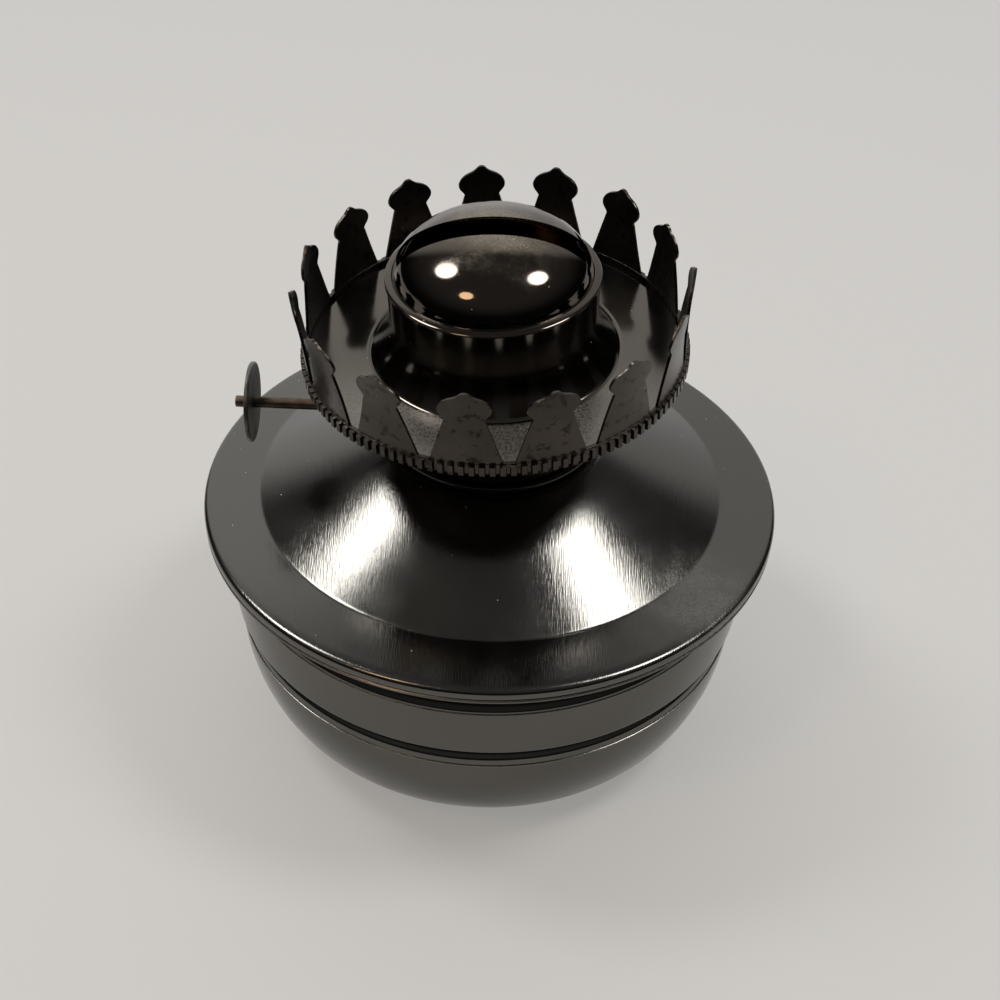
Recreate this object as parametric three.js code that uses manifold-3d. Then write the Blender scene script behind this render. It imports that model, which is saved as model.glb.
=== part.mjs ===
// Oil lamp base: a drawn metal font that holds the oil, and the flat-wick burner that screws into it.
// Millimetres, +Z up. The origin is on the lamp's axis, at the height of the foot it stands on.
// The wick's slot and the spindle that winds the wick run along X, with the knob at -X.
import * as THREE from 'three';
import { mergeVertices } from 'three/addons/utils/BufferGeometryUtils.js';
import Module from 'manifold-3d';

const wasm = await Module();
wasm.setup();

// Fits and sheet
const FIT = 0.3; // clearance of every piece to its neighbour
const OVERRUN = 2; // how far a cut runs past the wall it opens
const FONT_SHEET = 0.6;
const BURNER_SHEET = 0.6;

// Font: a bowl, and a top whose rolled rim is closed over the bowl's lip
const FONT_RADIUS = 63.7;
const FONT_HEIGHT = 56.4; // from the floor to the plane of the shoulder's edge
const RIM_ROUND = 1.4; // radius that rolls the shoulder over into the rim
const RIM_DEPTH = 2.2; // from the shoulder's plane down to the rim's lower edge
const LIP_THICKNESS = 0.8;
const LIP_SPIGOT = 1; // how far the bowl stands up inside the rim
const NECK_SET_IN = 6.5; // of the bowl just under its lip, behind the rim
const NECK_HEIGHT = 6.3; // upright stretch under the lip
const BODY_SET_IN = 5.1; // of the bowl's upright band, behind the rim
const BAND_TOP_DEPTH = 12.2; // from the shoulder's plane down to the band's upper edge
const BAND_HEIGHT = 11.6;
const STEP_IN = 1; // from the band in to the top of the flank
const GROOVE_DEPTH = 2.4; // of the groove rolled between the band and the flank
const GROOVE_HEIGHT = 5.4;
const FOOT_RADIUS = 41;
const FOOT_WIDTH = 7;
const FOOT_RECESS = 1.6; // how far the middle of the base is pressed up
const SHOULDER_RISE = 1.9;
const SHOULDER_WIDTH = 12.3; // from the rim's outside in to the crease where the cone begins
const CONE_RISE = 14.2;
const CONE_TOP_RADIUS = 24.6;

// Threaded collar soldered into the font's mouth
const COLLAR_BORE_RADIUS = 15.9;
const COLLAR_WALL = 1.5;
const COLLAR_FLANGE_RADIUS = 21.4;
const COLLAR_FLANGE_THICKNESS = 1.2;
const COLLAR_NECK_DEPTH = 4.5; // below its flange

// Burner: base cup, air basket and draft disc, with heights above the cup's seat
const CUP_REACH = 1.7; // of the cup's wall outside the basket
const CUP_HEIGHT = 3.6;
const THREAD_LENGTH = 6.2;
const BASKET_TOP = 26;
const BEAD_WIDTH = 3.8; // of the bead round the basket that carries the gallery
const BEAD_TOP = 19.1;
const BEAD_HEIGHT = 2.2;
const AIR_HOLE_RADIUS = 1.6;
const AIR_HOLE_COUNT = 12; // in each row
const AIR_ROW_COUNT = 2;
const AIR_ROW_FIRST = 6.6;
const AIR_ROW_STEP = 6.2;
const DISC_HEIGHT = 21;
const DISC_HOLE_RADIUS = 1.2;
const DISC_RING_RADIUS_SHARES = [0.52, 0.8]; // of the disc's own radius
const DISC_RING_COUNTS = [8, 14];

// Wick, its tube, and the vent that lets the font breathe, with heights above the cup's seat
const WICK_WIDTH = 25;
const WICK_THICKNESS = 2.6;
const WICK_FLOOR_GAP = 8; // between the wick's tail and the font's floor
const WICK_SHOWING = 0.8; // above the tube's mouth
const TUBE_PLAY = 0.4; // between the wick and the tube, all round
const TUBE_TOP = 35.2;
const TUBE_BELOW = 11;
const VENT_RADIUS = 1.5;
const VENT_BORE_RADIUS = 0.9;
const VENT_X = 8;
const VENT_TOP = 31;
const VENT_BELOW = 8;

// Spindle, knob and the toothed wheels that bite the wick
const SPINDLE_HEIGHT = 6.5; // above the cup's seat
const SPINDLE_RADIUS = 1.25;
const SPINDLE_STUB = 3; // how far the spindle stands out past the knob
const SPINDLE_TAIL = 1.5; // and past the wheel box at its other end
const WHEEL_RADIUS = 4;
const WHEEL_ROOT_RADIUS = 3.1;
const WHEEL_TEETH = 12;
const WHEEL_THICKNESS = 1.2;
const WHEEL_COUNT = 4;
const WHEEL_SPACING = 6.4;
const KNOB_RADIUS = 8.5;
const KNOB_THICKNESS = 1;
const KNOB_DISTANCE = 51; // from the lamp's axis to the middle of the knob
const SLEEVE_WALL = 0.8;
const SLEEVE_LENGTH = 7;

// Gallery: plate with its raised throat, crown of prongs, and dome
const CROWN_RADIUS = 40.5; // over the flutes' ridges
const FLUTE_DEPTH = 0.45;
const FLUTES_PER_PRONG = 9;
const CROWN_BAND_HEIGHT = 3.9;
const CROWN_LIP_WIDTH = 2.6; // turned in below the plate
const PRONG_COUNT = 15;
const PRONG_PHASE_DEGREES = 17.5; // from the front to the middle of the first prong
const PRONG_HEIGHT = 16.8; // above the band
const PRONG_INSET = 0.1; // of the prongs' face behind the bottom of the flutes
const PRONG_ROOT = 1; // how far a prong runs down into the band
const PRONG_GAP = 1.3; // flat between the roots of two prongs
const PRONG_NECK_WIDTH = 7.3;
const PRONG_NECK_HEIGHT = 7.7;
const PRONG_HEAD_WIDTH = 9.6;
const PRONG_LEAN = 0.9; // how far the tips lean in
const THROAT_RADIUS = 21.5;
const THROAT_FILLET = 4.2;
const THROAT_HEIGHT = 17; // from the plate's top to the throat's mouth
const DOME_FLANGE_REACH = 0.4; // outside the throat
const DOME_SET_IN = 1.1; // of the dome's foot behind the throat's outside
const DOME_HEIGHT = 11.1;
const DOME_SPIGOT = 2.4; // how far the dome reaches down into the throat
const SLOT_WIDTH = 6.6;
const SLOT_FLOOR = 0.9; // of the slot's ends above the dome's flange

// Shapes as shares, chosen by eye
const CORNER_SHARE = 0.3; // how much of a small step's height a rounded corner takes
const GROOVE_SLOPE_SHARE = 0.55; // how far up the groove its sloping lower side reaches
const DOME_SQUARENESS = 2.25; // 2 is an ellipse, more is fuller at the sides
// Outline of a prong's head: share of the head's height, share of its half width
const HEAD_OUTLINE_SHARES = [
  [0.12, 0.83],
  [0.32, 0.96],
  [0.48, 1],
  [0.62, 0.92],
  [0.73, 0.74],
  [0.84, 0.42],
  [0.93, 0.22],
  [1, 0.1],
];

// Heights and places worked out from the sizes above
const NECK_RADIUS = FONT_RADIUS - NECK_SET_IN;
const BODY_RADIUS = FONT_RADIUS - BODY_SET_IN;
const LAND_Z = FONT_HEIGHT + SHOULDER_RISE + CONE_RISE;
const COLLAR_Z = LAND_Z + FIT;
const CUP_Z = COLLAR_Z + COLLAR_FLANGE_THICKNESS + FIT;
const BASKET_RADIUS = THROAT_RADIUS - BURNER_SHEET - FIT;
const CUP_RADIUS = BASKET_RADIUS + CUP_REACH;
const CUP_BORE_RADIUS = CUP_RADIUS - BURNER_SHEET;
const BASKET_BORE_RADIUS = BASKET_RADIUS - BURNER_SHEET;
const BEAD_RADIUS = BASKET_RADIUS + BEAD_WIDTH;
const DOME_RADIUS = THROAT_RADIUS - DOME_SET_IN;
const DOME_FLANGE_RADIUS = THROAT_RADIUS + DOME_FLANGE_REACH;
const TUBE_WIDTH = WICK_WIDTH + 2 * (TUBE_PLAY + BURNER_SHEET);
const TUBE_THICKNESS = WICK_THICKNESS + 2 * (TUBE_PLAY + BURNER_SHEET);
const SPINDLE_Y = -(WICK_THICKNESS / 2 + FIT + WHEEL_RADIUS);
const SLEEVE_RADIUS = SPINDLE_RADIUS + FIT + SLEEVE_WALL;
const SLEEVE_X = -Math.sqrt(BASKET_RADIUS ** 2 - SPINDLE_Y ** 2);
const VENT_Y = TUBE_THICKNESS / 2 + FIT + VENT_RADIUS;
const WHEELS_HALF_LENGTH = (WHEEL_SPACING * (WHEEL_COUNT - 1) + WHEEL_THICKNESS) / 2;
const BOX_HALF_LENGTH = WHEELS_HALF_LENGTH + FIT + BURNER_SHEET;
const PRONG_OUTER_RADIUS = CROWN_RADIUS - FLUTE_DEPTH - PRONG_INSET;
const BAND_BORE_RADIUS = PRONG_OUTER_RADIUS - BURNER_SHEET - PRONG_INSET;
const CROWN_Z = BEAD_TOP - BURNER_SHEET;
const PLATE_Z = CROWN_Z + BURNER_SHEET + FIT;
const PLATE_TOP = PLATE_Z + BURNER_SHEET;
const DOME_Z = PLATE_TOP + THROAT_HEIGHT + FIT;

// How finely round pieces are faceted
const WIDE_SIDES = 40;
const NARROW_SIDES = 32;
const PIN_SIDES = 16;
const HOLE_SIDES = 6;
const ARC_STEPS = 3;
const DOME_STEPS = 6;
const FLANK_STEPS = 5;

const LOOKS = {
  nickel: { color: 0x4a4845, metalness: 1, roughness: 0.32 },
  gloss: { color: 0x3c3a38, metalness: 1, roughness: 0.16 },
  spindle: { color: 0x4b3a33, metalness: 1, roughness: 0.5 },
  brass: { color: 0x9a7b45, metalness: 1, roughness: 0.45 },
  cotton: { color: 0xcfc6b2, metalness: 0, roughness: 1 },
};

// A named piece with a material of its own.
function piece(name, geometry, look) {
  const mesh = new THREE.Mesh(geometry, new THREE.MeshStandardMaterial(LOOKS[look]));
  mesh.name = name;
  return mesh;
}

// A geometry as a solid for cutting and joining: shared corners merged, slivers at a pole left out.
function solidOf(geometry) {
  const bare = geometry.clone();
  bare.deleteAttribute('normal');
  bare.deleteAttribute('uv');
  const merged = mergeVertices(bare);
  const corners = merged.index.array;
  const kept = [];
  for (let i = 0; i < corners.length; i += 3) {
    const [a, b, c] = corners.slice(i, i + 3);
    if (a !== b && b !== c && c !== a) kept.push(a, b, c);
  }
  const vertProperties = merged.attributes.position.array;
  const triVerts = new Uint32Array(kept);
  return new wasm.Manifold(new wasm.Mesh({ numProp: 3, vertProperties, triVerts }));
}

// A solid back as a geometry.
function geometryOf(solid) {
  const mesh = solid.getMesh();
  const geometry = new THREE.BufferGeometry();
  geometry.setAttribute('position', new THREE.BufferAttribute(mesh.vertProperties, 3));
  geometry.setIndex(new THREE.BufferAttribute(mesh.triVerts, 1));
  return geometry;
}

// A geometry with others cut out of it.
function cut(geometry, cutters) {
  let solid = solidOf(geometry);
  for (const cutter of cutters) solid = solid.subtract(solidOf(cutter));
  return geometryOf(solid);
}

// A ring or cup turned about Z. The profile lists [radius, height] anticlockwise in section;
// one that doesn't start and end on the axis is closed on itself.
function turned(profile, sides) {
  const points = profile.map(([radius, height]) => new THREE.Vector2(radius, height));
  const closes = profile[0][0] > 0 || profile.at(-1)[0] > 0;
  if (closes) points.push(points[0].clone());
  return new THREE.LatheGeometry(points, sides).rotateX(Math.PI / 2);
}

// Points of an arc in section about [r, z], from one angle to another in degrees.
function arc(r, z, radius, from, to) {
  const points = [];
  for (let i = 0; i <= ARC_STEPS; i += 1) {
    const angle = THREE.MathUtils.degToRad(from + ((to - from) * i) / ARC_STEPS);
    points.push([r + radius * Math.cos(angle), z + radius * Math.sin(angle)]);
  }
  return points;
}

// The other face of a sheet: a path in section moved to its left by the sheet's thickness.
function otherFace(path, thickness) {
  const line = path.map(([r, z]) => new THREE.Vector2(r, z));
  return line.map((point, i) => {
    const before = line[Math.max(i - 1, 0)];
    const after = line[Math.min(i + 1, line.length - 1)];
    const into = i > 0 ? point.clone().sub(before).normalize() : after.clone().sub(point).normalize();
    const out = i < line.length - 1 ? after.clone().sub(point).normalize() : into;
    const across = new THREE.Vector2(-into.y - out.y, into.x + out.x).normalize();
    const stretch = 1 / Math.sqrt((1 + into.dot(out)) / 2);
    const moved = point.clone().addScaledVector(across, thickness * stretch);
    return [point.x === 0 ? 0 : moved.x, moved.y];
  });
}

// A section drawn as one sheet: its outer path, then the other face back again.
function sheet(path, thickness) {
  return [...path, ...otherFace(path, thickness).reverse()];
}

// A flat shape or hole with half-round ends, long along X.
function roundEnded(path, width, thickness) {
  const radius = thickness / 2;
  const centre = width / 2 - radius;
  path.absarc(centre, 0, radius, -Math.PI / 2, Math.PI / 2, false);
  path.absarc(-centre, 0, radius, Math.PI / 2, (Math.PI * 3) / 2, false);
  path.closePath();
  return path;
}

// An upright prism of a flat shape, from one height to another.
function upright(shape, from, to, curveSegments) {
  const settings = { depth: to - from, bevelEnabled: false, curveSegments };
  return new THREE.ExtrudeGeometry(shape, settings).translate(0, 0, from);
}

// A round bar along Z.
function bar(radius, from, to, sides) {
  const geometry = new THREE.CylinderGeometry(radius, radius, to - from, sides);
  return geometry.rotateX(Math.PI / 2).translate(0, 0, (from + to) / 2);
}

// A tube along Z.
function tube(radius, bore, from, to, sides) {
  return turned([[bore, from], [radius, from], [radius, to], [bore, to]], sides);
}

// A box between two corners.
function box([x0, y0, z0], [x1, y1, z1]) {
  const geometry = new THREE.BoxGeometry(x1 - x0, y1 - y0, z1 - z0);
  return geometry.translate((x0 + x1) / 2, (y0 + y1) / 2, (z0 + z1) / 2);
}

// The bowl is one drawn sheet: pressed-up base, rounded flank, rolled groove, upright band, neck and lip.
function fontBowl() {
  const lipTop = FONT_HEIGHT - RIM_DEPTH - FIT;
  const lipBottom = lipTop - LIP_THICKNESS;
  const neckTop = lipBottom - FONT_SHEET;
  const bandTop = FONT_HEIGHT - BAND_TOP_DEPTH;
  const bandBottom = bandTop - BAND_HEIGHT;
  const flankTop = bandBottom - GROOVE_HEIGHT;
  const flankRadius = BODY_RADIUS - STEP_IN;
  const grooveRadius = BODY_RADIUS - GROOVE_DEPTH;
  const neckBottom = neckTop - NECK_HEIGHT;
  const neckSlope = { width: BODY_RADIUS - NECK_RADIUS, height: neckBottom - bandTop };
  const spigotRadius = FONT_RADIUS - FONT_SHEET - FIT;
  const spigotTop = lipTop + LIP_SPIGOT;
  const cornerHeight = GROOVE_HEIGHT * CORNER_SHARE;
  const wall = [
    [0, FOOT_RECESS],
    [FOOT_RADIUS - FOOT_WIDTH - FOOT_RECESS, FOOT_RECESS],
    [FOOT_RADIUS - FOOT_WIDTH, 0],
  ];
  // The flank is a quarter of an ellipse between the foot and the groove.
  for (let i = 0; i <= FLANK_STEPS; i += 1) {
    const angle = (Math.PI / 2) * (i / FLANK_STEPS);
    const out = (flankRadius - FOOT_RADIUS) * Math.sin(angle);
    wall.push([FOOT_RADIUS + out, flankTop * (1 - Math.cos(angle))]);
  }
  wall.push(
    [flankRadius - (flankRadius - grooveRadius) * CORNER_SHARE, flankTop + cornerHeight],
    [grooveRadius, flankTop + GROOVE_HEIGHT * GROOVE_SLOPE_SHARE],
    [grooveRadius, bandBottom - cornerHeight],
    [BODY_RADIUS, bandBottom],
    [BODY_RADIUS, bandTop],
    [BODY_RADIUS - neckSlope.width * CORNER_SHARE, bandTop + neckSlope.height * CORNER_SHARE],
    [NECK_RADIUS, neckBottom],
    [NECK_RADIUS, neckTop],
  );
  const outside = [
    ...wall,
    [NECK_RADIUS + FONT_SHEET, lipBottom],
    [FONT_RADIUS, lipBottom],
    [FONT_RADIUS, lipTop],
    [spigotRadius, lipTop],
    [spigotRadius, spigotTop],
  ];
  // Inside the lip the sheet goes straight up into the spigot.
  const inside = otherFace(
    [...wall, [NECK_RADIUS + FONT_SHEET, lipBottom], [spigotRadius, lipBottom], [spigotRadius, spigotTop]],
    FONT_SHEET,
  );
  return turned([...outside, ...inside.reverse()], WIDE_SIDES);
}

// The top is one drawn sheet: rolled rim, shallow shoulder, cone, and a flat land round the mouth.
function fontTop() {
  const mouthRadius = COLLAR_BORE_RADIUS + COLLAR_WALL + FIT;
  const path = [
    [FONT_RADIUS, FONT_HEIGHT - RIM_DEPTH],
    ...arc(FONT_RADIUS - RIM_ROUND, FONT_HEIGHT - RIM_ROUND, RIM_ROUND, 0, 90),
    [FONT_RADIUS - SHOULDER_WIDTH, FONT_HEIGHT + SHOULDER_RISE],
    [CONE_TOP_RADIUS + FONT_SHEET, LAND_Z - FONT_SHEET * CORNER_SHARE],
    [CONE_TOP_RADIUS, LAND_Z],
    [mouthRadius, LAND_Z],
  ];
  return turned(sheet(path, FONT_SHEET), WIDE_SIDES);
}

function collar() {
  const neckRadius = COLLAR_BORE_RADIUS + COLLAR_WALL;
  const profile = [
    [COLLAR_BORE_RADIUS, -COLLAR_NECK_DEPTH],
    [neckRadius, -COLLAR_NECK_DEPTH],
    [neckRadius, 0],
    [COLLAR_FLANGE_RADIUS, 0],
    [COLLAR_FLANGE_RADIUS, COLLAR_FLANGE_THICKNESS],
    [COLLAR_BORE_RADIUS, COLLAR_FLANGE_THICKNESS],
  ];
  return turned(profile, NARROW_SIDES);
}

// The hole that a sheet needs where the wick tube passes through it.
function tubePassage() {
  const gap = 2 * FIT;
  const shape = roundEnded(new THREE.Shape(), TUBE_WIDTH + gap, TUBE_THICKNESS + gap);
  return upright(shape, -TUBE_BELOW, TUBE_TOP, HOLE_SIDES);
}

// And where the vent passes.
function ventPassage() {
  return bar(VENT_RADIUS + FIT, -VENT_BELOW, VENT_TOP, HOLE_SIDES).translate(VENT_X, VENT_Y, 0);
}

// The cup closes the font: a floor with the threaded skirt below it and a short wall above.
function baseCup() {
  const skirtRadius = COLLAR_BORE_RADIUS - FIT;
  const profile = [
    [0, 0],
    [skirtRadius - BURNER_SHEET, 0],
    [skirtRadius - BURNER_SHEET, -THREAD_LENGTH],
    [skirtRadius, -THREAD_LENGTH],
    [skirtRadius, 0],
    [CUP_RADIUS, 0],
    [CUP_RADIUS, CUP_HEIGHT],
    [CUP_BORE_RADIUS, CUP_HEIGHT],
    [CUP_BORE_RADIUS, BURNER_SHEET],
    [0, BURNER_SHEET],
  ];
  return cut(turned(profile, NARROW_SIDES), [tubePassage(), ventPassage()]);
}

// The basket lets air in through two rows of holes, and a bead round it carries the gallery.
function airBasket() {
  const foot = BURNER_SHEET + FIT;
  const beadBottom = BEAD_TOP - BEAD_HEIGHT;
  const footRadius = CUP_BORE_RADIUS - FIT;
  const wall = [
    [BASKET_RADIUS, foot],
    [BASKET_RADIUS, beadBottom],
    [BEAD_RADIUS, beadBottom],
    [BEAD_RADIUS, BEAD_TOP],
    [BASKET_RADIUS, BEAD_TOP],
    [BASKET_RADIUS, BASKET_TOP],
  ];
  const flangeTop = foot + BURNER_SHEET;
  const flange = [[footRadius, foot], [footRadius, flangeTop], [BASKET_RADIUS, flangeTop]];
  const inside = otherFace(wall, BURNER_SHEET).reverse();
  const shell = turned([...flange, ...wall.slice(1), ...inside], NARROW_SIDES);
  const sleeveAngle = Math.atan2(SPINDLE_Y, SLEEVE_X);
  const clear = (SLEEVE_RADIUS + AIR_HOLE_RADIUS + 2 * FIT) / BASKET_RADIUS;
  const holes = [alongSpindle(bar(SLEEVE_RADIUS + FIT, -BASKET_RADIUS - OVERRUN, 0, PIN_SIDES))];
  for (let row = 0; row < AIR_ROW_COUNT; row += 1) {
    for (let i = 0; i < AIR_HOLE_COUNT; i += 1) {
      const angle = (Math.PI * (2 * i + row)) / AIR_HOLE_COUNT;
      if (Math.cos(angle - sleeveAngle) > Math.cos(clear)) continue;
      const hole = bar(AIR_HOLE_RADIUS, BASKET_BORE_RADIUS - OVERRUN, BASKET_RADIUS + OVERRUN, HOLE_SIDES);
      hole.rotateY(Math.PI / 2).rotateZ(angle);
      holes.push(hole.translate(0, 0, AIR_ROW_FIRST + row * AIR_ROW_STEP));
    }
  }
  return cut(shell, holes);
}

// A geometry made along Z, laid along X on the spindle's line.
function alongSpindle(geometry) {
  return geometry.rotateY(Math.PI / 2).translate(0, SPINDLE_Y, SPINDLE_HEIGHT);
}

// The disc spreads the draught round the wick tube.
function draftDisc() {
  const radius = BASKET_BORE_RADIUS - FIT;
  const disc = bar(radius, DISC_HEIGHT, DISC_HEIGHT + BURNER_SHEET, NARROW_SIDES);
  const holes = [tubePassage(), ventPassage()];
  const web = DISC_HOLE_RADIUS + 2 * FIT;
  DISC_RING_COUNTS.forEach((count, ring) => {
    const ringRadius = radius * DISC_RING_RADIUS_SHARES[ring];
    for (let i = 0; i < count; i += 1) {
      const angle = (Math.PI * (2 * i + 1)) / count;
      const [x, y] = [ringRadius * Math.cos(angle), ringRadius * Math.sin(angle)];
      const overTube = Math.abs(y) < TUBE_THICKNESS / 2 + web && Math.abs(x) < TUBE_WIDTH / 2 + web;
      const overVent = Math.hypot(x - VENT_X, y - VENT_Y) < VENT_RADIUS + web;
      if (overTube || overVent) continue;
      holes.push(bar(DISC_HOLE_RADIUS, 0, TUBE_TOP, HOLE_SIDES).translate(x, y, 0));
    }
  });
  return cut(disc, holes);
}

// The flat tube holds the wick; windows in its front let the wheels reach the wick.
function wickTube() {
  const shape = roundEnded(new THREE.Shape(), TUBE_WIDTH, TUBE_THICKNESS);
  const boreWidth = TUBE_WIDTH - 2 * BURNER_SHEET;
  const bore = roundEnded(new THREE.Path(), boreWidth, TUBE_THICKNESS - 2 * BURNER_SHEET);
  shape.holes.push(bore);
  const shell = upright(shape, -TUBE_BELOW, TUBE_TOP, HOLE_SIDES);
  const reach = -SPINDLE_Y - TUBE_THICKNESS / 2;
  const windowHalf = Math.sqrt(WHEEL_RADIUS ** 2 - reach ** 2) + FIT;
  const windows = wheelPlaces().map((x) => {
    const half = WHEEL_THICKNESS / 2 + FIT;
    const low = [x - half, SPINDLE_Y, SPINDLE_HEIGHT - windowHalf];
    const high = [x + half, -WICK_THICKNESS / 2, SPINDLE_HEIGHT + windowHalf];
    return box(low, high);
  });
  return cut(shell, windows);
}

// Where the wheels sit along the spindle.
function wheelPlaces() {
  const places = [];
  for (let i = 0; i < WHEEL_COUNT; i += 1) places.push((i - (WHEEL_COUNT - 1) / 2) * WHEEL_SPACING);
  return places;
}

// The box in front of the tube covers the wheels and carries the spindle in its ends.
function wheelBox() {
  const inside = WHEEL_RADIUS + FIT;
  const outside = inside + BURNER_SHEET;
  const back = -(TUBE_THICKNESS / 2 + FIT);
  const innerLength = BOX_HALF_LENGTH - BURNER_SHEET;
  const shell = box(
    [-BOX_HALF_LENGTH, SPINDLE_Y - outside, SPINDLE_HEIGHT - outside],
    [BOX_HALF_LENGTH, back, SPINDLE_HEIGHT + outside],
  );
  const hollow = box(
    [-innerLength, SPINDLE_Y - inside, SPINDLE_HEIGHT - inside],
    [innerLength, back + OVERRUN, SPINDLE_HEIGHT + inside],
  );
  const reach = BOX_HALF_LENGTH + OVERRUN;
  const bearings = alongSpindle(bar(SPINDLE_RADIUS + FIT, -reach, reach, PIN_SIDES));
  return cut(shell, [hollow, bearings]);
}

// The sleeve guides the spindle through the basket's wall.
function spindleSleeve() {
  const half = SLEEVE_LENGTH / 2;
  return tube(SLEEVE_RADIUS, SPINDLE_RADIUS + FIT, SLEEVE_X - half, SLEEVE_X + half, PIN_SIDES);
}

// A wheel with pointed teeth, along Z.
function ratchetWheel() {
  const points = [];
  for (let i = 0; i < 2 * WHEEL_TEETH; i += 1) {
    const radius = i % 2 ? WHEEL_ROOT_RADIUS : WHEEL_RADIUS;
    const angle = (Math.PI * i) / WHEEL_TEETH;
    points.push(new THREE.Vector2(radius * Math.cos(angle), radius * Math.sin(angle)));
  }
  const shape = new THREE.Shape(points);
  shape.holes.push(new THREE.Path().absarc(0, 0, SPINDLE_RADIUS + FIT, 0, Math.PI * 2, true));
  return upright(shape, -WHEEL_THICKNESS / 2, WHEEL_THICKNESS / 2, HOLE_SIDES);
}

function wick() {
  const shape = roundEnded(new THREE.Shape(), WICK_WIDTH, WICK_THICKNESS);
  const tail = FOOT_RECESS + FONT_SHEET + WICK_FLOOR_GAP - CUP_Z;
  return upright(shape, tail, TUBE_TOP + WICK_SHOWING, HOLE_SIDES);
}

// The plate carries the chimney, and its middle is drawn up into the throat that carries the dome.
function galleryPlate() {
  const filletCentre = THROAT_RADIUS + THROAT_FILLET;
  const path = [
    [BAND_BORE_RADIUS - FIT, PLATE_TOP],
    ...arc(filletCentre, PLATE_TOP + THROAT_FILLET, THROAT_FILLET, 270, 180),
    [THROAT_RADIUS, PLATE_TOP + THROAT_HEIGHT],
  ];
  return turned(sheet(path, BURNER_SHEET), WIDE_SIDES);
}

// Half widths of a prong from its root in the band up to its tip: [height, half width].
function prongOutline() {
  const pitch = (2 * Math.PI * PRONG_OUTER_RADIUS) / PRONG_COUNT;
  const root = (pitch - PRONG_GAP) / 2;
  const neck = PRONG_NECK_WIDTH / 2;
  const headHeight = PRONG_HEIGHT - PRONG_NECK_HEIGHT;
  return [
    [-PRONG_ROOT, root],
    [0, root],
    [PRONG_NECK_HEIGHT / 2, (root + neck) / 2],
    [PRONG_NECK_HEIGHT, neck],
    ...HEAD_OUTLINE_SHARES.map(([up, out]) => [
      PRONG_NECK_HEIGHT + up * headHeight,
      (out * PRONG_HEAD_WIDTH) / 2,
    ]),
  ];
}

// One prong at the front, cut to its outline and bent round the crown: a gridded block whose rows take
// the outline's widths and whose columns are wrapped round the axis.
function prong() {
  const outline = prongOutline();
  const rows = outline.length - 1;
  const block = new THREE.BoxGeometry(2, rows, 1, 2, rows, 1);
  const place = block.attributes.position;
  for (let i = 0; i < place.count; i += 1) {
    const [height, half] = outline[Math.round(place.getY(i) + rows / 2)];
    const up = Math.max(height, 0) / PRONG_HEIGHT;
    const radius = PRONG_OUTER_RADIUS + (place.getZ(i) - 0.5) * BURNER_SHEET - PRONG_LEAN * up * up;
    const angle = (place.getX(i) * half) / PRONG_OUTER_RADIUS;
    place.setXYZ(i, radius * Math.sin(angle), -radius * Math.cos(angle), CROWN_BAND_HEIGHT + height);
  }
  return block;
}

// The crown is one stamped strip bent into a ring: a fluted band, a lip turned in below the plate,
// and the prongs that spring against the chimney.
function prongCrown() {
  const flutes = PRONG_COUNT * FLUTES_PER_PRONG;
  const ridges = [];
  for (let i = 0; i < 2 * flutes; i += 1) {
    const radius = i % 2 ? CROWN_RADIUS - FLUTE_DEPTH : CROWN_RADIUS;
    const angle = (Math.PI * i) / flutes;
    ridges.push(new THREE.Vector2(radius * Math.cos(angle), radius * Math.sin(angle)));
  }
  const band = new THREE.Shape(ridges);
  band.holes.push(new THREE.Path().absarc(0, 0, BAND_BORE_RADIUS, 0, Math.PI * 2, true));
  const lipRadius = BAND_BORE_RADIUS + PRONG_INSET;
  const lip = tube(lipRadius, BAND_BORE_RADIUS - CROWN_LIP_WIDTH, 0, BURNER_SHEET, WIDE_SIDES);
  let crown = solidOf(upright(band, 0, CROWN_BAND_HEIGHT, WIDE_SIDES / 2)).add(solidOf(lip));
  for (let i = 0; i < PRONG_COUNT; i += 1) {
    const degrees = PRONG_PHASE_DEGREES + (360 * i) / PRONG_COUNT;
    crown = crown.add(solidOf(prong().rotateZ(THREE.MathUtils.degToRad(degrees))));
  }
  return geometryOf(crown);
}

// The dome draws the draught over the flame: a full, flat-topped cap with a slot across it for the wick.
function domeCap() {
  const spigotRadius = THROAT_RADIUS - BURNER_SHEET - FIT;
  const cap = [];
  for (let i = 0; i <= DOME_STEPS; i += 1) {
    const angle = (Math.PI / 2) * (i / DOME_STEPS);
    const across = i < DOME_STEPS ? Math.cos(angle) ** (2 / DOME_SQUARENESS) : 0;
    const up = Math.sin(angle) ** (2 / DOME_SQUARENESS);
    cap.push([DOME_RADIUS * across, BURNER_SHEET + DOME_HEIGHT * up]);
  }
  const flange = [
    [spigotRadius, -DOME_SPIGOT],
    [spigotRadius, 0],
    [DOME_FLANGE_RADIUS, 0],
    [DOME_FLANGE_RADIUS, BURNER_SHEET],
  ];
  const inside = otherFace([flange[0], [spigotRadius, BURNER_SHEET], ...cap.slice(1)], BURNER_SHEET);
  const shell = turned([...flange, ...cap, ...inside.reverse()], WIDE_SIDES);
  const reach = DOME_RADIUS + OVERRUN;
  const slot = box(
    [-reach, -SLOT_WIDTH / 2, BURNER_SHEET + SLOT_FLOOR],
    [reach, SLOT_WIDTH / 2, DOME_HEIGHT + OVERRUN],
  );
  return cut(shell, [slot]);
}

// Assembly
const lamp = new THREE.Group();
lamp.add(piece('font_bowl', fontBowl(), 'nickel'));
lamp.add(piece('font_top', fontTop(), 'nickel'));
const fontCollar = piece('font_collar', collar(), 'brass');
fontCollar.position.z = COLLAR_Z;
lamp.add(fontCollar);

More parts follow.
